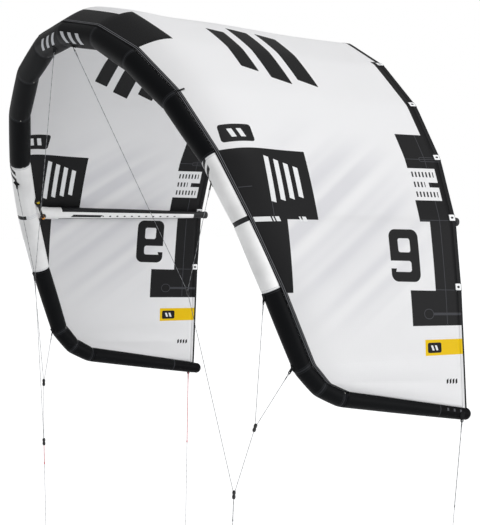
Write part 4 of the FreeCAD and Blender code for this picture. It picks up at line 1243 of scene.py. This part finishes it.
# %% Materials of the pieces that keep their frame shapes
for names, look in (
        (["bridle_tabs"], tab_webbing), (["hose_elbows"], elbow_nylon),
        (["hose_clamps", "clamp_lever_center", "clamp_lever_left", "clamp_lever_right"], nylon),
        (["valve_base"], nylon), (["valve_cap"], acetal), (["le_bladder", "strut_bladders"], film)):
    for name in names:
        mesh = nodes[name].data
        mesh.materials.clear()
        mesh.materials.append(look)
        print(name, len(mesh.polygons), "faces", look.name)

# %% [markdown]
# ## Tail labels
# A small stitched patch reinforces the hem beside each rib. It is a white label with a black
# border, folded round the hem so that it shows on both faces.

# %% Label material
def label(name):
    """Coated white label cloth with a black border and a black disc. Its threads are drawn at
    1 mm, coarser than real."""
    made, tree = material(name)
    place = add(tree, "UVMap", uv_map="on_label")
    border = rounded_box(tree, place, (0, 0), (0.019, 0.015), 0.004)
    disc = rounded_box(tree, place, (0, 0), (0.007, 0.007), 0.0069)
    tone = printed(tree, colour("#17181A"), [("#F2F3F4", border), ("#17181A", disc)])
    fine = add(tree, "TexNoise", {"Vector": place, "Scale": 900, "Detail": 1})
    return surfaced(made, tone, fine, 0.2, 0.0003, {"Roughness": 0.55})


LABEL_HALF_WIDE, LABEL_OFF_RIB, LABEL_HALF_LONG, LABEL_START = 0.022, 0.018, 0.052, -0.030
LABEL_CUTS = (-1, -0.5, 0, 0.5, 1)
LABEL_PATH = ((-22, 0.5), (-6, 1.0), (12, 1.6), (27, 1.3), (29.5, -1.3), (27, -4.0), (12, -4.3),
              (-6, -3.8), (-22, -3.2))
label_cloth = label("label_cloth")
labels = []
for rib in range(2, 7):
    metre = 1 / (SPAN_STEPS[rib] - SPAN_STEPS[rib - 1])
    middle = rib - LABEL_OFF_RIB * metre
    rows = [[hem_point(middle + across * LABEL_HALF_WIDE * metre, back, lift)
             for back, lift in LABEL_PATH] for across in LABEL_CUTS]
    sides = [min(abs(step - 4) / 4, 1) * LABEL_HALF_LONG + LABEL_START
             for step in range(len(LABEL_PATH))]
    values = [[(across * LABEL_HALF_WIDE, along) for along in sides] for across in LABEL_CUTS]
    labels += for_each_wing("label", rows, [("on_label", values)])
labels = thicken(merged("tail_labels", labels), CLOTH_WALL)
finish_piece(labels, label_cloth, ["trailing_edge_patches"])
print("labels", len(labels.data.polygons), "faces")

# %% [markdown]
# ## Light and floor
# Two broad soft suns, one from above and one lower from the side, show the curve of the cloth,
# and an even white surround fills the inside. The camera sees plain white behind, and the pale
# floor keeps the kite's shadow.

# %% World
world = bpy.data.worlds.new("studio")
scene.world = world
world.use_nodes = True
tree = world.node_tree
tree.nodes.clear()
rays = add(tree, "LightPath").outputs
seen = add(tree, "Math", {0: rays["Is Camera Ray"], 1: rays["Is Transmission Ray"]},
           operation="MAXIMUM")
soft, white = (add(tree, "Background", {"Color": colour("#FFFFFF"), "Strength": strength})
               for strength in (0.51, 1.0))
mixed = add(tree, "MixShader", {0: seen, 1: soft, 2: white})
add(tree, "OutputWorld", {"Surface": mixed})

# %% Lamps
for name, energy, spread, way in (("key_sun", 1.15, 30, (-0.45, -0.25, -0.86)),
                                  ("side_sun", 1.25, 40, (-0.78, -0.61, -0.12))):
    data = bpy.data.lights.new(name, "SUN")
    data.energy, data.angle = energy, math.radians(spread)
    lamp = bpy.data.objects.new(name, data)
    scene.collection.objects.link(lamp)
    lamp.rotation_euler = Vector(way).to_track_quat("-Z", "Y").to_euler()

# %% Floor
FLOOR_SIZE, FLOOR_HEIGHT = 160, -3.62
floor_made, tree = material("painted_floor")
rays = add(tree, "LightPath").outputs
seen = add(tree, "Math", {0: rays["Is Camera Ray"], 1: rays["Is Glossy Ray"]},
           operation="MAXIMUM")
paint = add(tree, "BsdfDiffuse", {"Color": colour("#E9EAEB")})
bright = add(tree, "Emission", {"Color": colour("#FFFFFF"), "Strength": 0.42})
summed = add(tree, "AddShader", {0: paint, 1: bright})
shader = add(tree, "MixShader", {0: seen, 1: paint, 2: summed})
add(tree, "OutputMaterial", {"Surface": shader})
bpy.ops.object.select_all(action="DESELECT")
bpy.ops.mesh.primitive_plane_add(size=FLOOR_SIZE, location=(0, 0, FLOOR_HEIGHT))
floor = bpy.context.object
floor.name = "floor"
floor.data.materials.append(floor_made)

# %% Finish
scene.view_settings.view_transform = "Standard"
